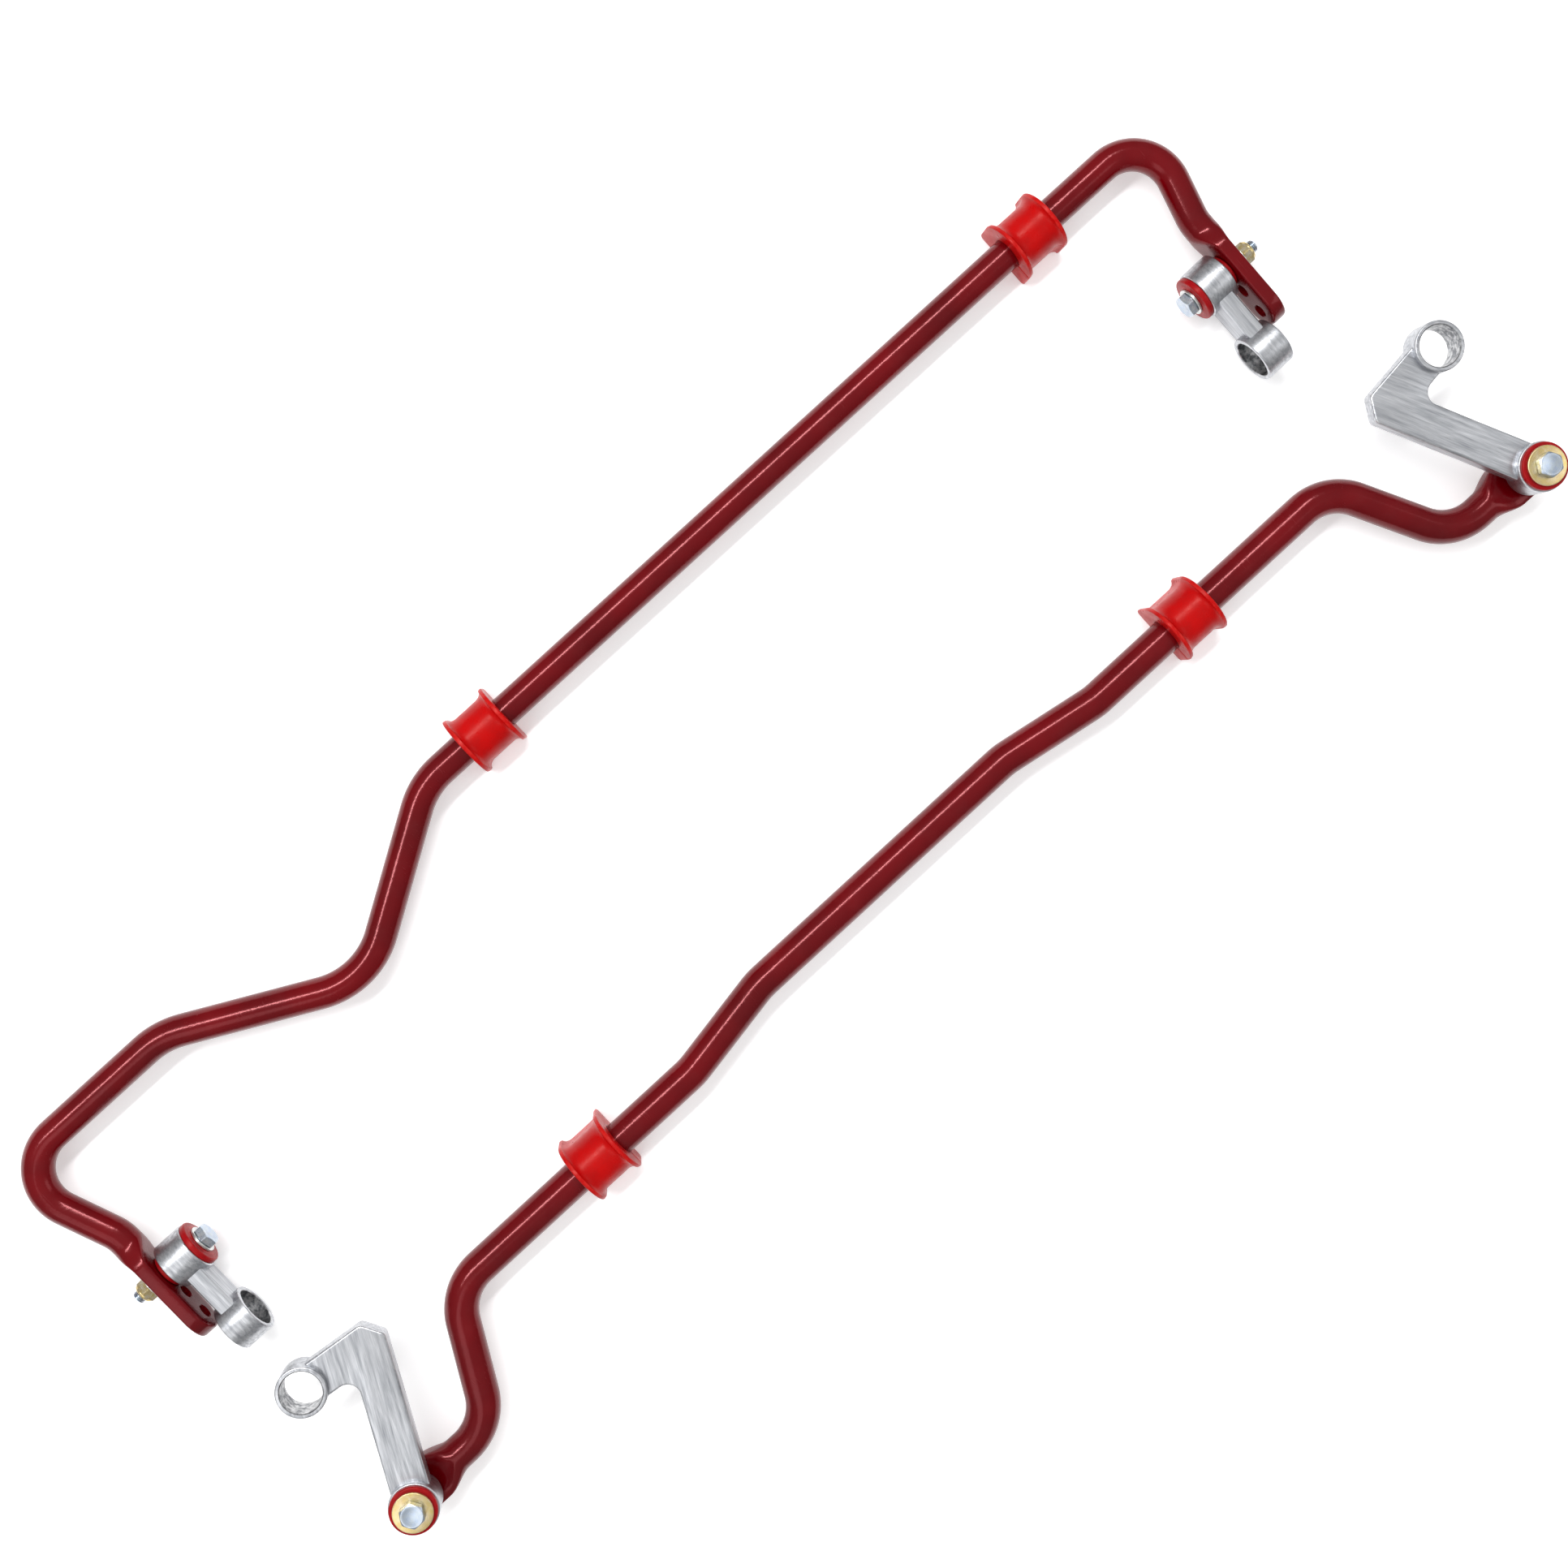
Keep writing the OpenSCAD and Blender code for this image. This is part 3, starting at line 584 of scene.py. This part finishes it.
def hex_skin(low, high, bevel_low, bevel_high, hollow=0.0):
    """Hexagon with its corners turned off to a cone at either face; bored if hollow."""
    around = 96
    angles, c, s = directions(around)
    side, land, slope = hexagon(angles, HEX_AF), HEX_AF / 2 * HEX_LAND, math.tan(math.radians(30))

    def face(z, way, bevel):
        fall = np.maximum(0, side - land) * slope if bevel else np.zeros(around)
        rim = np.column_stack([side * c, side * s, z - way * fall])
        return rim, ring(np.minimum(side, land), z, c, s)

    rim_low, flat_low = face(low, -1, bevel_low)
    rim_high, flat_high = face(high, 1, bevel_high)
    rows = [flat_low, rim_low, rim_high, flat_high]
    if hollow:
        mouth = hollow + NUT_CHAMFER
        for r, z in ((mouth, high), (hollow, high - NUT_CHAMFER),
                     (hollow, low + NUT_CHAMFER), (mouth, low)):
            rows.append(ring(r, z, c, s))
        return np.concatenate(rows), ring_faces(len(rows), around, True)
    rows.append(ring(DISH_R + DISH_SLOPE, high, c, s))
    rows.append(ring(DISH_R, high - DISH_DEPTH, c, s))
    return np.concatenate(rows), capped_faces(len(rows), around)


def bolt_shank(tip_z, head_z):
    """Shank with a real thread cut round it over its end, and a chamfered tip."""
    around, rows, thread_end = 48, [], tip_z + THREAD_LEN
    angles, c, s = directions(around)
    for z in np.arange(tip_z, thread_end, THREAD_PITCH / 10):
        turn = ((z - tip_z) / THREAD_PITCH - angles / (2 * math.pi)) % 1.0
        valley = np.clip(1 - np.abs(turn - 0.5) / VALLEY_SHARE, 0, 1)
        fade = min(1.0, max(0.0, (thread_end - z) / (2 * THREAD_PITCH)))
        r = THREAD_CREST_R - THREAD_DEPTH * valley * fade
        r = np.minimum(r, THREAD_CREST_R - TIP_CHAMFER + (z - tip_z))
        rows.append(ring(r, z, c, s))
    for r, z in ((THREAD_CREST_R, thread_end + 0.3), (BOLT_D / 2, thread_end + 0.9),
                 (BOLT_D / 2, head_z + 0.2)):
        rows.append(ring(r, z, c, s))
    return np.concatenate(rows), capped_faces(len(rows), around)


def bolt(name, flat_t, washer_t):
    head_z = flat_t / 2 + SLEEVE_LEN + washer_t
    face_r = HEX_AF / 2 * BOLT_FACE
    under = lathe([(face_r, head_z), (face_r, head_z + 0.5)], 96, closed=False)
    head = hex_skin(head_z + 0.4, head_z + HEAD_H, False, True)
    shank = bolt_shank(head_z - BOLT_LEN, head_z)
    return new_piece(name, *joined(head, under, shank), sharp=28)


def lock_nut(name, flat_t):
    """Hexagon nut with a rolled-over collar that holds its nylon ring."""
    seat = -flat_t / 2 - WASHER_T
    low, end = seat - NUT_H, seat - NUT_H - COLLAR_H
    outer, inner, roll = COLLAR_D / 2 - 0.2, COLLAR_D / 2 - COLLAR_WALL, COLLAR_ROLL_R
    body = hex_skin(low, seat, True, True, NUT_BORE_R)
    collar = [(inner, low + 0.2), (outer, low + 0.2), (outer, end + roll)]
    collar += [(outer - roll + roll * math.cos(a), end + roll - roll * math.sin(a))
               for a in np.linspace(0, math.pi / 2, 6)]
    collar += [(inner - 0.6, end), (inner - 0.6, end + 0.5), (inner, end + 0.7)]
    return new_piece(name, *joined(body, lathe(collar, 96)), sharp=28)


def nylon_ring(name, flat_t):
    low = -flat_t / 2 - WASHER_T - NUT_H - COLLAR_H
    r = COLLAR_D / 2 - COLLAR_WALL - 0.1
    profile = tube_profile(r, NUT_BORE_R, low + 0.55, low + COLLAR_H, 0.3)
    return new_piece(name, *lathe(profile))


def washer_skin(d, thick, low):
    """Stamped washer: rounded on one rim, square on the other."""
    r, bore = d / 2, HOLE_D / 2
    arc = np.linspace(0, math.pi / 2, 5)
    profile = [(r - 0.15, low), (r, low + 0.15)]
    profile += [(r - 0.6 + 0.6 * math.cos(a), low + thick - 0.6 + 0.6 * math.sin(a)) for a in arc]
    profile += [(bore + 0.4, low + thick), (bore, low + thick - 0.4), (bore, low)]
    return lathe(profile, 96)


def front_end(side):
    """Place of the bolt stack on a front end, its Z up towards the link."""
    low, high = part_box(f"front_bolt_{SIDE_NAMES[side]}")
    return Matrix.Translation(((low.x + high.x) / 2, (low.y + high.y) / 2, AXIS_Z * MM))


def rear_paddle(side):
    """Place of the bolt stack on a rear paddle, its Z inboard towards the link."""
    low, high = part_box(f"rear_bolt_{SIDE_NAMES[side]}")
    centre_x = from_front_ends.translation.x + REAR_TIPS[side][0] * MM
    shift = Matrix.Translation((centre_x, (low.y + high.y) / 2, AXIS_Z * MM))
    return shift @ Matrix.Rotation(math.radians(-90 * side), 4, "Y")


def bolt_stack(end, side, finishes):
    """Everything that one bolt holds together, and the link that swings on it."""
    front, tail = end == "front", SIDE_NAMES[side]
    place = front_end(side) if front else rear_paddle(side)
    flat_t, link_z = (FRONT_FLAT_T, FRONT_LINK_Z) if front else (REAR_FLAT_T, REAR_LINK_Z)
    head_side, nut_side = flat_t / 2 + SLEEVE_LEN, -flat_t / 2 - WASHER_T
    title, link_body = end.title(), f"{end}_link_{tail}"
    eye_place = place @ Matrix.Translation((0, 0, link_z * MM))

    def label(part):
        return title + part + tail.title()

    def clamped(piece, node, finish):
        fit(piece, place, end + "_bar", f"{end}_{node}_{tail}", finishes[finish])

    if front:
        lean = math.atan2(*open_eye_of_angled_link(side))
        link = angled_link(label("Link"), side)
        link_place = eye_place @ Matrix.Rotation(lean, 4, "Z")
    else:
        link, link_place = straight_link(label("Link")), eye_place
    fit(link, link_place, link_body, link_body, finishes["aluminium"])
    bush = new_piece(label("LinkBush"), *link_bush(), sharp=42)
    fit(bush, eye_place, link_body, f"{end}_link_bush_{tail}", finishes["bush"])
    tube = tube_profile(SLEEVE_OD / 2, SLEEVE_BORE / 2, flat_t / 2, head_side, SLEEVE_RIM)
    clamped(new_piece(label("Sleeve"), *lathe(tube)), "sleeve", "bright")
    head_washer_t = LARGE_WASHER_T if front else WASHER_T
    clamped(bolt(label("Bolt"), flat_t, head_washer_t), "bolt", "blue")
    clamped(lock_nut(label("Nut"), flat_t), "nut", "yellow")
    clamped(nylon_ring(label("NutRing"), flat_t), "nut_ring", "nylon")
    small = washer_skin(WASHER_D, WASHER_T, nut_side)
    if front:
        large = washer_skin(LARGE_WASHER_D, LARGE_WASHER_T, head_side)
        clamped(new_piece(label("LargeWasher"), *large), "large_washer", "yellow")
        clamped(new_piece(label("Washer"), *small), "washer", "bright")
    else:
        both = joined(washer_skin(WASHER_D, WASHER_T, head_side), small)
        clamped(new_piece(label("Washers"), *both), "washers", "bright")


# ---------------------------------------------------------------- finishes


def shade(red, green, blue):
    """A colour given as 0 to 255, turned into light."""
    def light(v):
        v /= 255
        return v / 12.92 if v <= 0.04045 else ((v + 0.055) / 1.055) ** 2.4
    return (light(red), light(green), light(blue), 1.0)


def new_effect(name, inputs, *outputs):
    """An empty shader group: its tree, what it is given (first the Vector) and its results."""
    effect = bpy.data.node_groups.new(name, "ShaderNodeTree")
    effect.interface.new_socket(name="Vector", in_out="INPUT", socket_type="NodeSocketVector")
    for label, value in inputs.items():
        socket = effect.interface.new_socket(name=label, in_out="INPUT",
                                             socket_type="NodeSocketFloat")
        socket.default_value = value
    for label in outputs:
        effect.interface.new_socket(name=label, in_out="OUTPUT", socket_type="NodeSocketFloat")
    given = effect.nodes.new("NodeGroupInput").outputs
    return effect, given, effect.nodes.new("NodeGroupOutput").inputs


def maths(tree, operation, first, second=None):
    """A Math node; each side is a socket or a number."""
    node = tree.nodes.new("ShaderNodeMath")
    node.operation = operation
    for socket, value in zip(node.inputs, (first, second)):
        if isinstance(value, (int, float)):
            socket.default_value = value
        elif value is not None:
            tree.links.new(value, socket)
    return node.outputs[0]


def spread(tree, value, low, high, to_low=0.0, to_high=1.0):
    """Maps a value from one range to another, and keeps it there."""
    node = tree.nodes.new("ShaderNodeMapRange")
    tree.links.new(value, node.inputs["Value"])
    for label, number in (("From Min", low), ("From Max", high),
                          ("To Min", to_low), ("To Max", to_high)):
        node.inputs[label].default_value = number
    return node.outputs["Result"]


def noise(tree, vector, scale, detail=2.0, roughness=0.5):
    node = tree.nodes.new("ShaderNodeTexNoise")
    tree.links.new(vector, node.inputs["Vector"])
    if isinstance(scale, (int, float)):
        node.inputs["Scale"].default_value = scale
    else:
        tree.links.new(scale, node.inputs["Scale"])
    node.inputs["Detail"].default_value = detail
    node.inputs["Roughness"].default_value = roughness
    return node.outputs["Fac"]


def stretched(tree, vector, across, along, through):
    """Coordinates pulled out along Y, for marks that run that way."""
    parts = tree.nodes.new("ShaderNodeSeparateXYZ")
    tree.links.new(vector, parts.inputs[0])
    whole = tree.nodes.new("ShaderNodeCombineXYZ")
    for i, factor in enumerate((across, along, through)):
        tree.links.new(maths(tree, "MULTIPLY", parts.outputs[i], factor), whole.inputs[i])
    return whole.outputs[0]


def make_orange_peel():
    """The soft ripple of a sprayed or moulded skin."""
    group, given, result = new_effect("Orange Peel", {"Scale": 600.0}, "Height")
    coarse = noise(group, given["Vector"], given["Scale"], detail=1.0)
    finer_scale = maths(group, "MULTIPLY", given["Scale"], 2.7)
    finer = noise(group, given["Vector"], finer_scale, detail=2.0)
    total = maths(group, "ADD", coarse, maths(group, "MULTIPLY", finer, 0.35))
    group.links.new(total, result["Height"])
    return group


def make_mottling():
    """Broad, soft differences of tone."""
    group, given, result = new_effect("Mottling", {"Scale": 25.0}, "Mask")
    broad = noise(group, given["Vector"], given["Scale"], detail=3.0, roughness=0.55)
    group.links.new(spread(group, broad, 0.32, 0.68), result["Mask"])
    return group


def make_dust():
    """A thin, patchy film of dust with a few specks."""
    group, given, result = new_effect("Dust", {"Amount": 0.2}, "Mask")
    patches = noise(group, given["Vector"], 55.0, detail=4.0, roughness=0.6)
    film = spread(group, patches, 0.48, 0.78)
    specks = spread(group, noise(group, given["Vector"], 1400.0, detail=1.0), 0.74, 0.80)
    both = maths(group, "ADD", maths(group, "MULTIPLY", film, 0.5), specks)
    group.links.new(maths(group, "MULTIPLY", both, given["Amount"]), result["Mask"])
    return group


def make_hairlines():
    """Sparse fine scratches, mostly along the piece."""
    group, given, result = new_effect("Hairlines", {"Amount": 0.3}, "Mask")
    lines = noise(group, stretched(group, given["Vector"], 900.0, 18.0, 900.0), 1.0, detail=1.0)
    where = spread(group, noise(group, given["Vector"], 40.0, detail=2.0), 0.50, 0.62)
    thin = maths(group, "MULTIPLY", spread(group, lines, 0.66, 0.72), where)
    group.links.new(maths(group, "MULTIPLY", thin, given["Amount"]), result["Mask"])
    return group


def make_brushed_grain():
    """Fine parallel lines of a belt-brushed face, along Y."""
    group, given, result = new_effect("Brushed Grain", {"Fineness": 2200.0}, "Mask", "Height")
    lines = stretched(group, given["Vector"], given["Fineness"], 28.0, given["Fineness"])
    grain = noise(group, lines, 1.0, detail=3.0, roughness=0.65)
    group.links.new(spread(group, grain, 0.3, 0.7), result["Mask"])
    group.links.new(grain, result["Height"])
    return group


def make_turned_rings():
    """Fine rings round Z that a turning tool leaves."""
    group, given, result = new_effect("Turned Rings", {"Fineness": 3500.0}, "Mask", "Height")
    parts = group.nodes.new("ShaderNodeSeparateXYZ")
    group.links.new(given["Vector"], parts.inputs[0])
    x, y, z = parts.outputs
    radius = maths(group, "SQRT", maths(group, "ADD", maths(group, "MULTIPLY", x, x),
                                        maths(group, "MULTIPLY", y, y)))
    line = group.nodes.new("ShaderNodeCombineXYZ")
    group.links.new(maths(group, "MULTIPLY", radius, given["Fineness"]), line.inputs[0])
    group.links.new(maths(group, "MULTIPLY", z, given["Fineness"]), line.inputs[1])
    rings = noise(group, line.outputs[0], 1.0, detail=2.0)
    group.links.new(spread(group, rings, 0.3, 0.7), result["Mask"])
    group.links.new(rings, result["Height"])
    return group


def make_rubbed_edges():
    """Where edges are rubbed a little brighter, broken up so that it isn't even."""
    group, given, result = new_effect("Rubbed Edges", {"Edge": 0.0, "Amount": 0.4}, "Mask")
    patches = noise(group, given["Vector"], 260.0, detail=3.0, roughness=0.6)
    rubbed = maths(group, "MULTIPLY", given["Edge"], spread(group, patches, 0.4, 0.62))
    group.links.new(maths(group, "MULTIPLY", rubbed, given["Amount"]), result["Mask"])
    return group


class Finish:
    """A material on its way to being done: its shader, its coordinates and its effects."""

    def __init__(self, name, **fixed):
        self.material = bpy.data.materials.new(name)
        self.material.use_nodes = True
        self.tree = self.material.node_tree
        self.shader = self.tree.nodes["Principled BSDF"]
        for label, value in fixed.items():
            self.shader.inputs[label.replace("_", " ")].default_value = value
        self.place = self.tree.nodes.new("ShaderNodeTexCoord").outputs["Object"]
        self.edge = self.marked("edge")

    def marked(self, name):
        """What is stored on the mesh under that name, from 0 to 1."""
        stored = self.tree.nodes.new("ShaderNodeAttribute")
        stored.attribute_name = name
        return stored.outputs["Fac"]

    def effect(self, group, output, **values):
        """One of the shared effects with this finish's own values."""
        node = self.tree.nodes.new("ShaderNodeGroup")
        node.node_tree = group
        self.tree.links.new(self.place, node.inputs["Vector"])
        for label, value in values.items():
            if isinstance(value, (int, float)):
                node.inputs[label].default_value = value
            else:
                self.tree.links.new(value, node.inputs[label])
        return node.outputs[output]

    def blend(self, mask, first, second):
        """A colour that goes from first to second with the mask; each is a colour or a socket."""
        node = self.tree.nodes.new("ShaderNodeMix")
        node.data_type = "RGBA"
        self.tree.links.new(mask, node.inputs[0])
        for socket, value in ((node.inputs[6], first), (node.inputs[7], second)):
            if isinstance(value, tuple):
                socket.default_value = value
            else:
                self.tree.links.new(value, socket)
        return node.outputs[2]

    def colour(self, socket):
        self.tree.links.new(socket, self.shader.inputs["Base Color"])

    def roughness(self, socket):
        self.tree.links.new(socket, self.shader.inputs["Roughness"])

    def relief(self, height, depth):
        """Bump of a real depth in millimetres."""
        bump = self.tree.nodes.new("ShaderNodeBump")
        bump.inputs["Strength"].default_value = 1.0
        bump.inputs["Distance"].default_value = depth * MM
        self.tree.links.new(height, bump.inputs["Height"])
        self.tree.links.new(bump.outputs[0], self.shader.inputs["Normal"])


def red_powder_coat(effects):
    """Deep glossy red coat with a fine orange peel."""
    f = Finish("RedPowderCoat", Specular_IOR_Level=0.6, Specular_Tint=(1.0, 0.36, 0.38, 1.0))
    broad = f.effect(effects["mottling"], "Mask", Scale=18.0)
    tone = f.blend(broad, shade(102, 0, 7), shade(82, 0, 5))
    rubbed = f.effect(effects["edges"], "Mask", Edge=f.edge, Amount=0.3)
    tone = f.blend(rubbed, tone, shade(160, 26, 32))
    dust = f.effect(effects["dust"], "Mask", Amount=0.02)
    f.colour(f.blend(dust, tone, shade(190, 150, 148)))
    marks = f.effect(effects["hairlines"], "Mask", Amount=0.5)
    gloss = maths(f.tree, "ADD", maths(f.tree, "MULTIPLY", dust, 1.6), marks)
    f.roughness(spread(f.tree, gloss, 0.0, 1.0, 0.17, 0.60))
    f.relief(f.effect(effects["peel"], "Height", Scale=420.0), 0.05)
    return f.material


def urethane(name, effects, light, dark, dust_amount):
    """Moulded urethane: even red with a waxy skin."""
    f = Finish(name, Specular_IOR_Level=0.24, Specular_Tint=(1.0, 0.55, 0.5, 1.0),
               Subsurface_Weight=0.06, Subsurface_Scale=0.003)
    f.shader.inputs["Subsurface Radius"].default_value = (1.0, 0.12, 0.08)
    tone = f.blend(f.effect(effects["mottling"], "Mask", Scale=70.0), light, dark)
    rubbed = f.effect(effects["edges"], "Mask", Edge=f.edge, Amount=0.3)
    tone = f.blend(rubbed, tone, shade(222, 60, 52))
    dust = f.effect(effects["dust"], "Mask", Amount=dust_amount)
    f.colour(f.blend(dust, tone, shade(214, 178, 170)))
    cloudy = f.effect(effects["mottling"], "Mask", Scale=140.0)
    f.roughness(spread(f.tree, maths(f.tree, "ADD", cloudy, dust), 0.0, 1.2, 0.26, 0.42))
    f.relief(f.effect(effects["peel"], "Height", Scale=900.0), 0.06)
    return f.material


def brushed_aluminium(effects):
    """Machined aluminium, brushed along the link, with coarser draw lines under the brushing."""
    f = Finish("BrushedAluminium", Metallic=1.0)
    fine = f.effect(effects["brushed"], "Mask", Fineness=2400.0)
    coarse = f.effect(effects["brushed"], "Mask", Fineness=430.0)
    tone = f.blend(fine, shade(192, 194, 198), shade(220, 221, 224))
    tone = f.blend(maths(f.tree, "MULTIPLY", coarse, 0.8), tone, shade(118, 121, 127))
    cloud = f.effect(effects["mottling"], "Mask", Scale=30.0)
    tone = f.blend(maths(f.tree, "MULTIPLY", cloud, 0.3), tone, shade(176, 179, 184))
    # Bore walls: real turned rings, in dark tones that are painted shade of the deep bores
    rings = f.effect(effects["rings"], "Mask", Fineness=1500.0)
    bore = f.blend(rings, shade(96, 98, 102), shade(128, 130, 134))
    tone = f.blend(f.marked("bored"), tone, bore)
    rubbed = f.effect(effects["edges"], "Mask", Edge=f.edge, Amount=0.6)
    tone = f.blend(rubbed, tone, shade(248, 248, 248))
    f.colour(f.blend(f.effect(effects["dust"], "Mask", Amount=0.06), tone, shade(190, 186, 178)))
    f.roughness(spread(f.tree, maths(f.tree, "ADD", fine, coarse), 0.0, 2.0, 0.26, 0.46))
    lines = maths(f.tree, "ADD", f.effect(effects["brushed"], "Height", Fineness=2400.0),
                  f.effect(effects["brushed"], "Height", Fineness=430.0))
    f.relief(lines, 0.03)
    return f.material


def zinc_plate(name, effects, light, dark, sheen):
    """Bright plated steel with a faint second tint in the passivation."""
    f = Finish(name, Metallic=1.0)
    tone = f.blend(f.effect(effects["mottling"], "Mask", Scale=110.0), light, dark)
    tint = maths(f.tree, "MULTIPLY", f.effect(effects["mottling"], "Mask", Scale=330.0), 0.4)
    tone = f.blend(tint, tone, sheen)
    rubbed = f.effect(effects["edges"], "Mask", Edge=f.edge, Amount=0.45)
    tone = f.blend(rubbed, tone, shade(240, 240, 238))
    f.colour(f.blend(f.effect(effects["dust"], "Mask", Amount=0.1), tone, shade(150, 145, 136)))
    rings = f.effect(effects["rings"], "Mask", Fineness=2600.0)
    f.roughness(spread(f.tree, rings, 0.0, 1.0, 0.24, 0.38))
    f.relief(f.effect(effects["rings"], "Height", Fineness=2600.0), 0.02)
    return f.material


def nylon(effects):
    """Dark nylon of the nuts' locking rings."""
    f = Finish("DarkNylon", Specular_IOR_Level=0.5)
    broad = f.effect(effects["mottling"], "Mask", Scale=200.0)
    tone = f.blend(broad, shade(34, 34, 37), shade(48, 48, 52))
    f.colour(f.blend(f.effect(effects["dust"], "Mask", Amount=0.15), tone, shade(120, 118, 114)))
    cloudy = f.effect(effects["mottling"], "Mask", Scale=500.0)
    f.roughness(spread(f.tree, cloudy, 0.0, 1.0, 0.35, 0.5))
    f.relief(f.effect(effects["peel"], "Height", Scale=1500.0), 0.02)
    return f.material


def floor_paint(effects):
    """Plain pale floor that glows a little, as a light table does."""
    f = Finish("PaleFloor", Specular_IOR_Level=0.2, Emission_Color=(1.0, 1.0, 1.0, 1.0),
               Emission_Strength=0.34)
    broad = f.effect(effects["mottling"], "Mask", Scale=3.0)
    f.colour(f.blend(broad, shade(246, 246, 246), shade(243, 243, 244)))
    cloudy = f.effect(effects["mottling"], "Mask", Scale=9.0)
    f.roughness(spread(f.tree, cloudy, 0.0, 1.0, 0.62, 0.7))
    return f.material


# ---------------------------------------------------------------- studio


FLOOR_R, FLOOR_DROP = 45.0, 0.0003
LENS, SENSOR, NEAREST, FARTHEST = 44.72, 36.0, 0.05, 120.0
ZENITH, HORIZON, BACKDROP = 0.69, 0.22, 0.84


def floor(finish):
    work = bmesh.new()
    bmesh.ops.create_circle(work, cap_ends=True, cap_tris=True, segments=128, radius=FLOOR_R)
    mesh = bpy.data.meshes.new("Floor")
    work.to_mesh(mesh)
    work.free()
    ground = bpy.data.objects.new("Floor", mesh)
    ground.location.z = -FLOOR_DROP
    mesh.materials.append(finish)
    bpy.context.scene.collection.objects.link(ground)


def area_light(name, at, aim, wide, tall, power):
    lamp = bpy.data.lights.new(name, "AREA")
    lamp.shape = "RECTANGLE"
    lamp.size, lamp.size_y, lamp.energy = wide, tall, power
    light = bpy.data.objects.new(name, lamp)
    light.location = at
    light.rotation_euler = (Vector(aim) - Vector(at)).to_track_quat("-Z", "Y").to_euler()
    bpy.context.scene.collection.objects.link(light)


def surroundings():
    """A pale room, brighter overhead than at the horizon."""
    world = bpy.data.worlds.new("Studio")
    world.use_nodes = True
    tree = world.node_tree
    height = tree.nodes.new("ShaderNodeSeparateXYZ")
    tree.links.new(tree.nodes.new("ShaderNodeTexCoord").outputs["Generated"], height.inputs[0])
    room = spread(tree, height.outputs[2], 0.0, 1.0, HORIZON, ZENITH)
    seen = tree.nodes.new("ShaderNodeLightPath").outputs["Is Camera Ray"]
    backdrop = maths(tree, "MULTIPLY", seen, BACKDROP)
    sky = tree.nodes["Background"].inputs
    tree.links.new(maths(tree, "MAXIMUM", room, backdrop), sky["Strength"])
    sky["Color"].default_value = (1.0, 1.0, 1.0, 1.0)
    bpy.context.scene.world = world


def studio():
    """A strip light along the bars for their highlights, and two soft boxes."""
    surroundings()
    area_light("Strip", (0.0, 1.25, 2.6), (0, 0.1, 0), 3.4, 0.26, 76)
    area_light("SoftBox", (-1.9, -0.5, 2.2), (0, 0, 0), 1.2, 1.8, 9)
    area_light("SideFill", (1.9, -1.1, 1.9), (0, 0, 0), 1.2, 1.2, 6)


def camera():
    """Looks almost straight down on the set, with the bars running up to the right."""
    right = Vector((0.737, -0.6717, 0.0753)).normalized()
    back = Vector((-0.0257, 0.0835, 0.9962)).normalized()
    up = back.cross(right).normalized()
    lens = bpy.data.cameras.new("Camera")
    lens.sensor_width, lens.lens = SENSOR, LENS
    lens.clip_start, lens.clip_end = NEAREST, FARTHEST
    eye = bpy.data.objects.new("Camera", lens)
    turn = Matrix((right, up, back)).transposed().to_4x4()
    eye.matrix_world = Matrix.Translation((-0.0278, 0.1308, 1.4633)) @ turn
    bpy.context.scene.collection.objects.link(eye)
    bpy.context.scene.camera = eye
    bpy.context.scene.view_settings.view_transform = "Standard"


# ---------------------------------------------------------------- the set

# From the middle of the line between the front bar's ends to the origin of the set
front_low, front_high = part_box("front_bolt_left")[0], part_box("front_bolt_right")[1]
from_front_ends = Matrix.Translation(((front_low.x + front_high.x) / 2,
                                      (front_low.y + front_high.y) / 2, AXIS_Z * MM))

effects = {"peel": make_orange_peel(), "mottling": make_mottling(), "dust": make_dust(),
           "hairlines": make_hairlines(), "brushed": make_brushed_grain(),
           "rings": make_turned_rings(), "edges": make_rubbed_edges()}
coat = red_powder_coat(effects)
saddle_red = urethane("SaddleUrethane", effects, shade(182, 3, 4), shade(164, 2, 4), 0.015)
link_red = urethane("LinkUrethane", effects, shade(150, 6, 16), shade(130, 4, 12), 0.02)
finishes = {
    "aluminium": brushed_aluminium(effects),
    "bush": link_red,
    "bright": zinc_plate("BrightZinc", effects, light=shade(214, 216, 216),
                         dark=shade(198, 201, 203), sheen=shade(206, 214, 200)),
    "blue": zinc_plate("BlueZinc", effects, light=shade(186, 198, 214),
                       dark=shade(168, 182, 202), sheen=shade(196, 200, 190)),
    "yellow": zinc_plate("YellowZinc", effects, light=shade(214, 194, 128),
                         dark=shade(198, 176, 108), sheen=shade(200, 176, 160)),
    "nylon": nylon(effects),
}

front_bar(coat)
rear_bar(coat)
saddle_bushes(saddle_red)
for bar_end in ("front", "rear"):
    for bar_side in (LEFT, RIGHT):
        bolt_stack(bar_end, bar_side, finishes)
floor(floor_paint(effects))
studio()
camera()
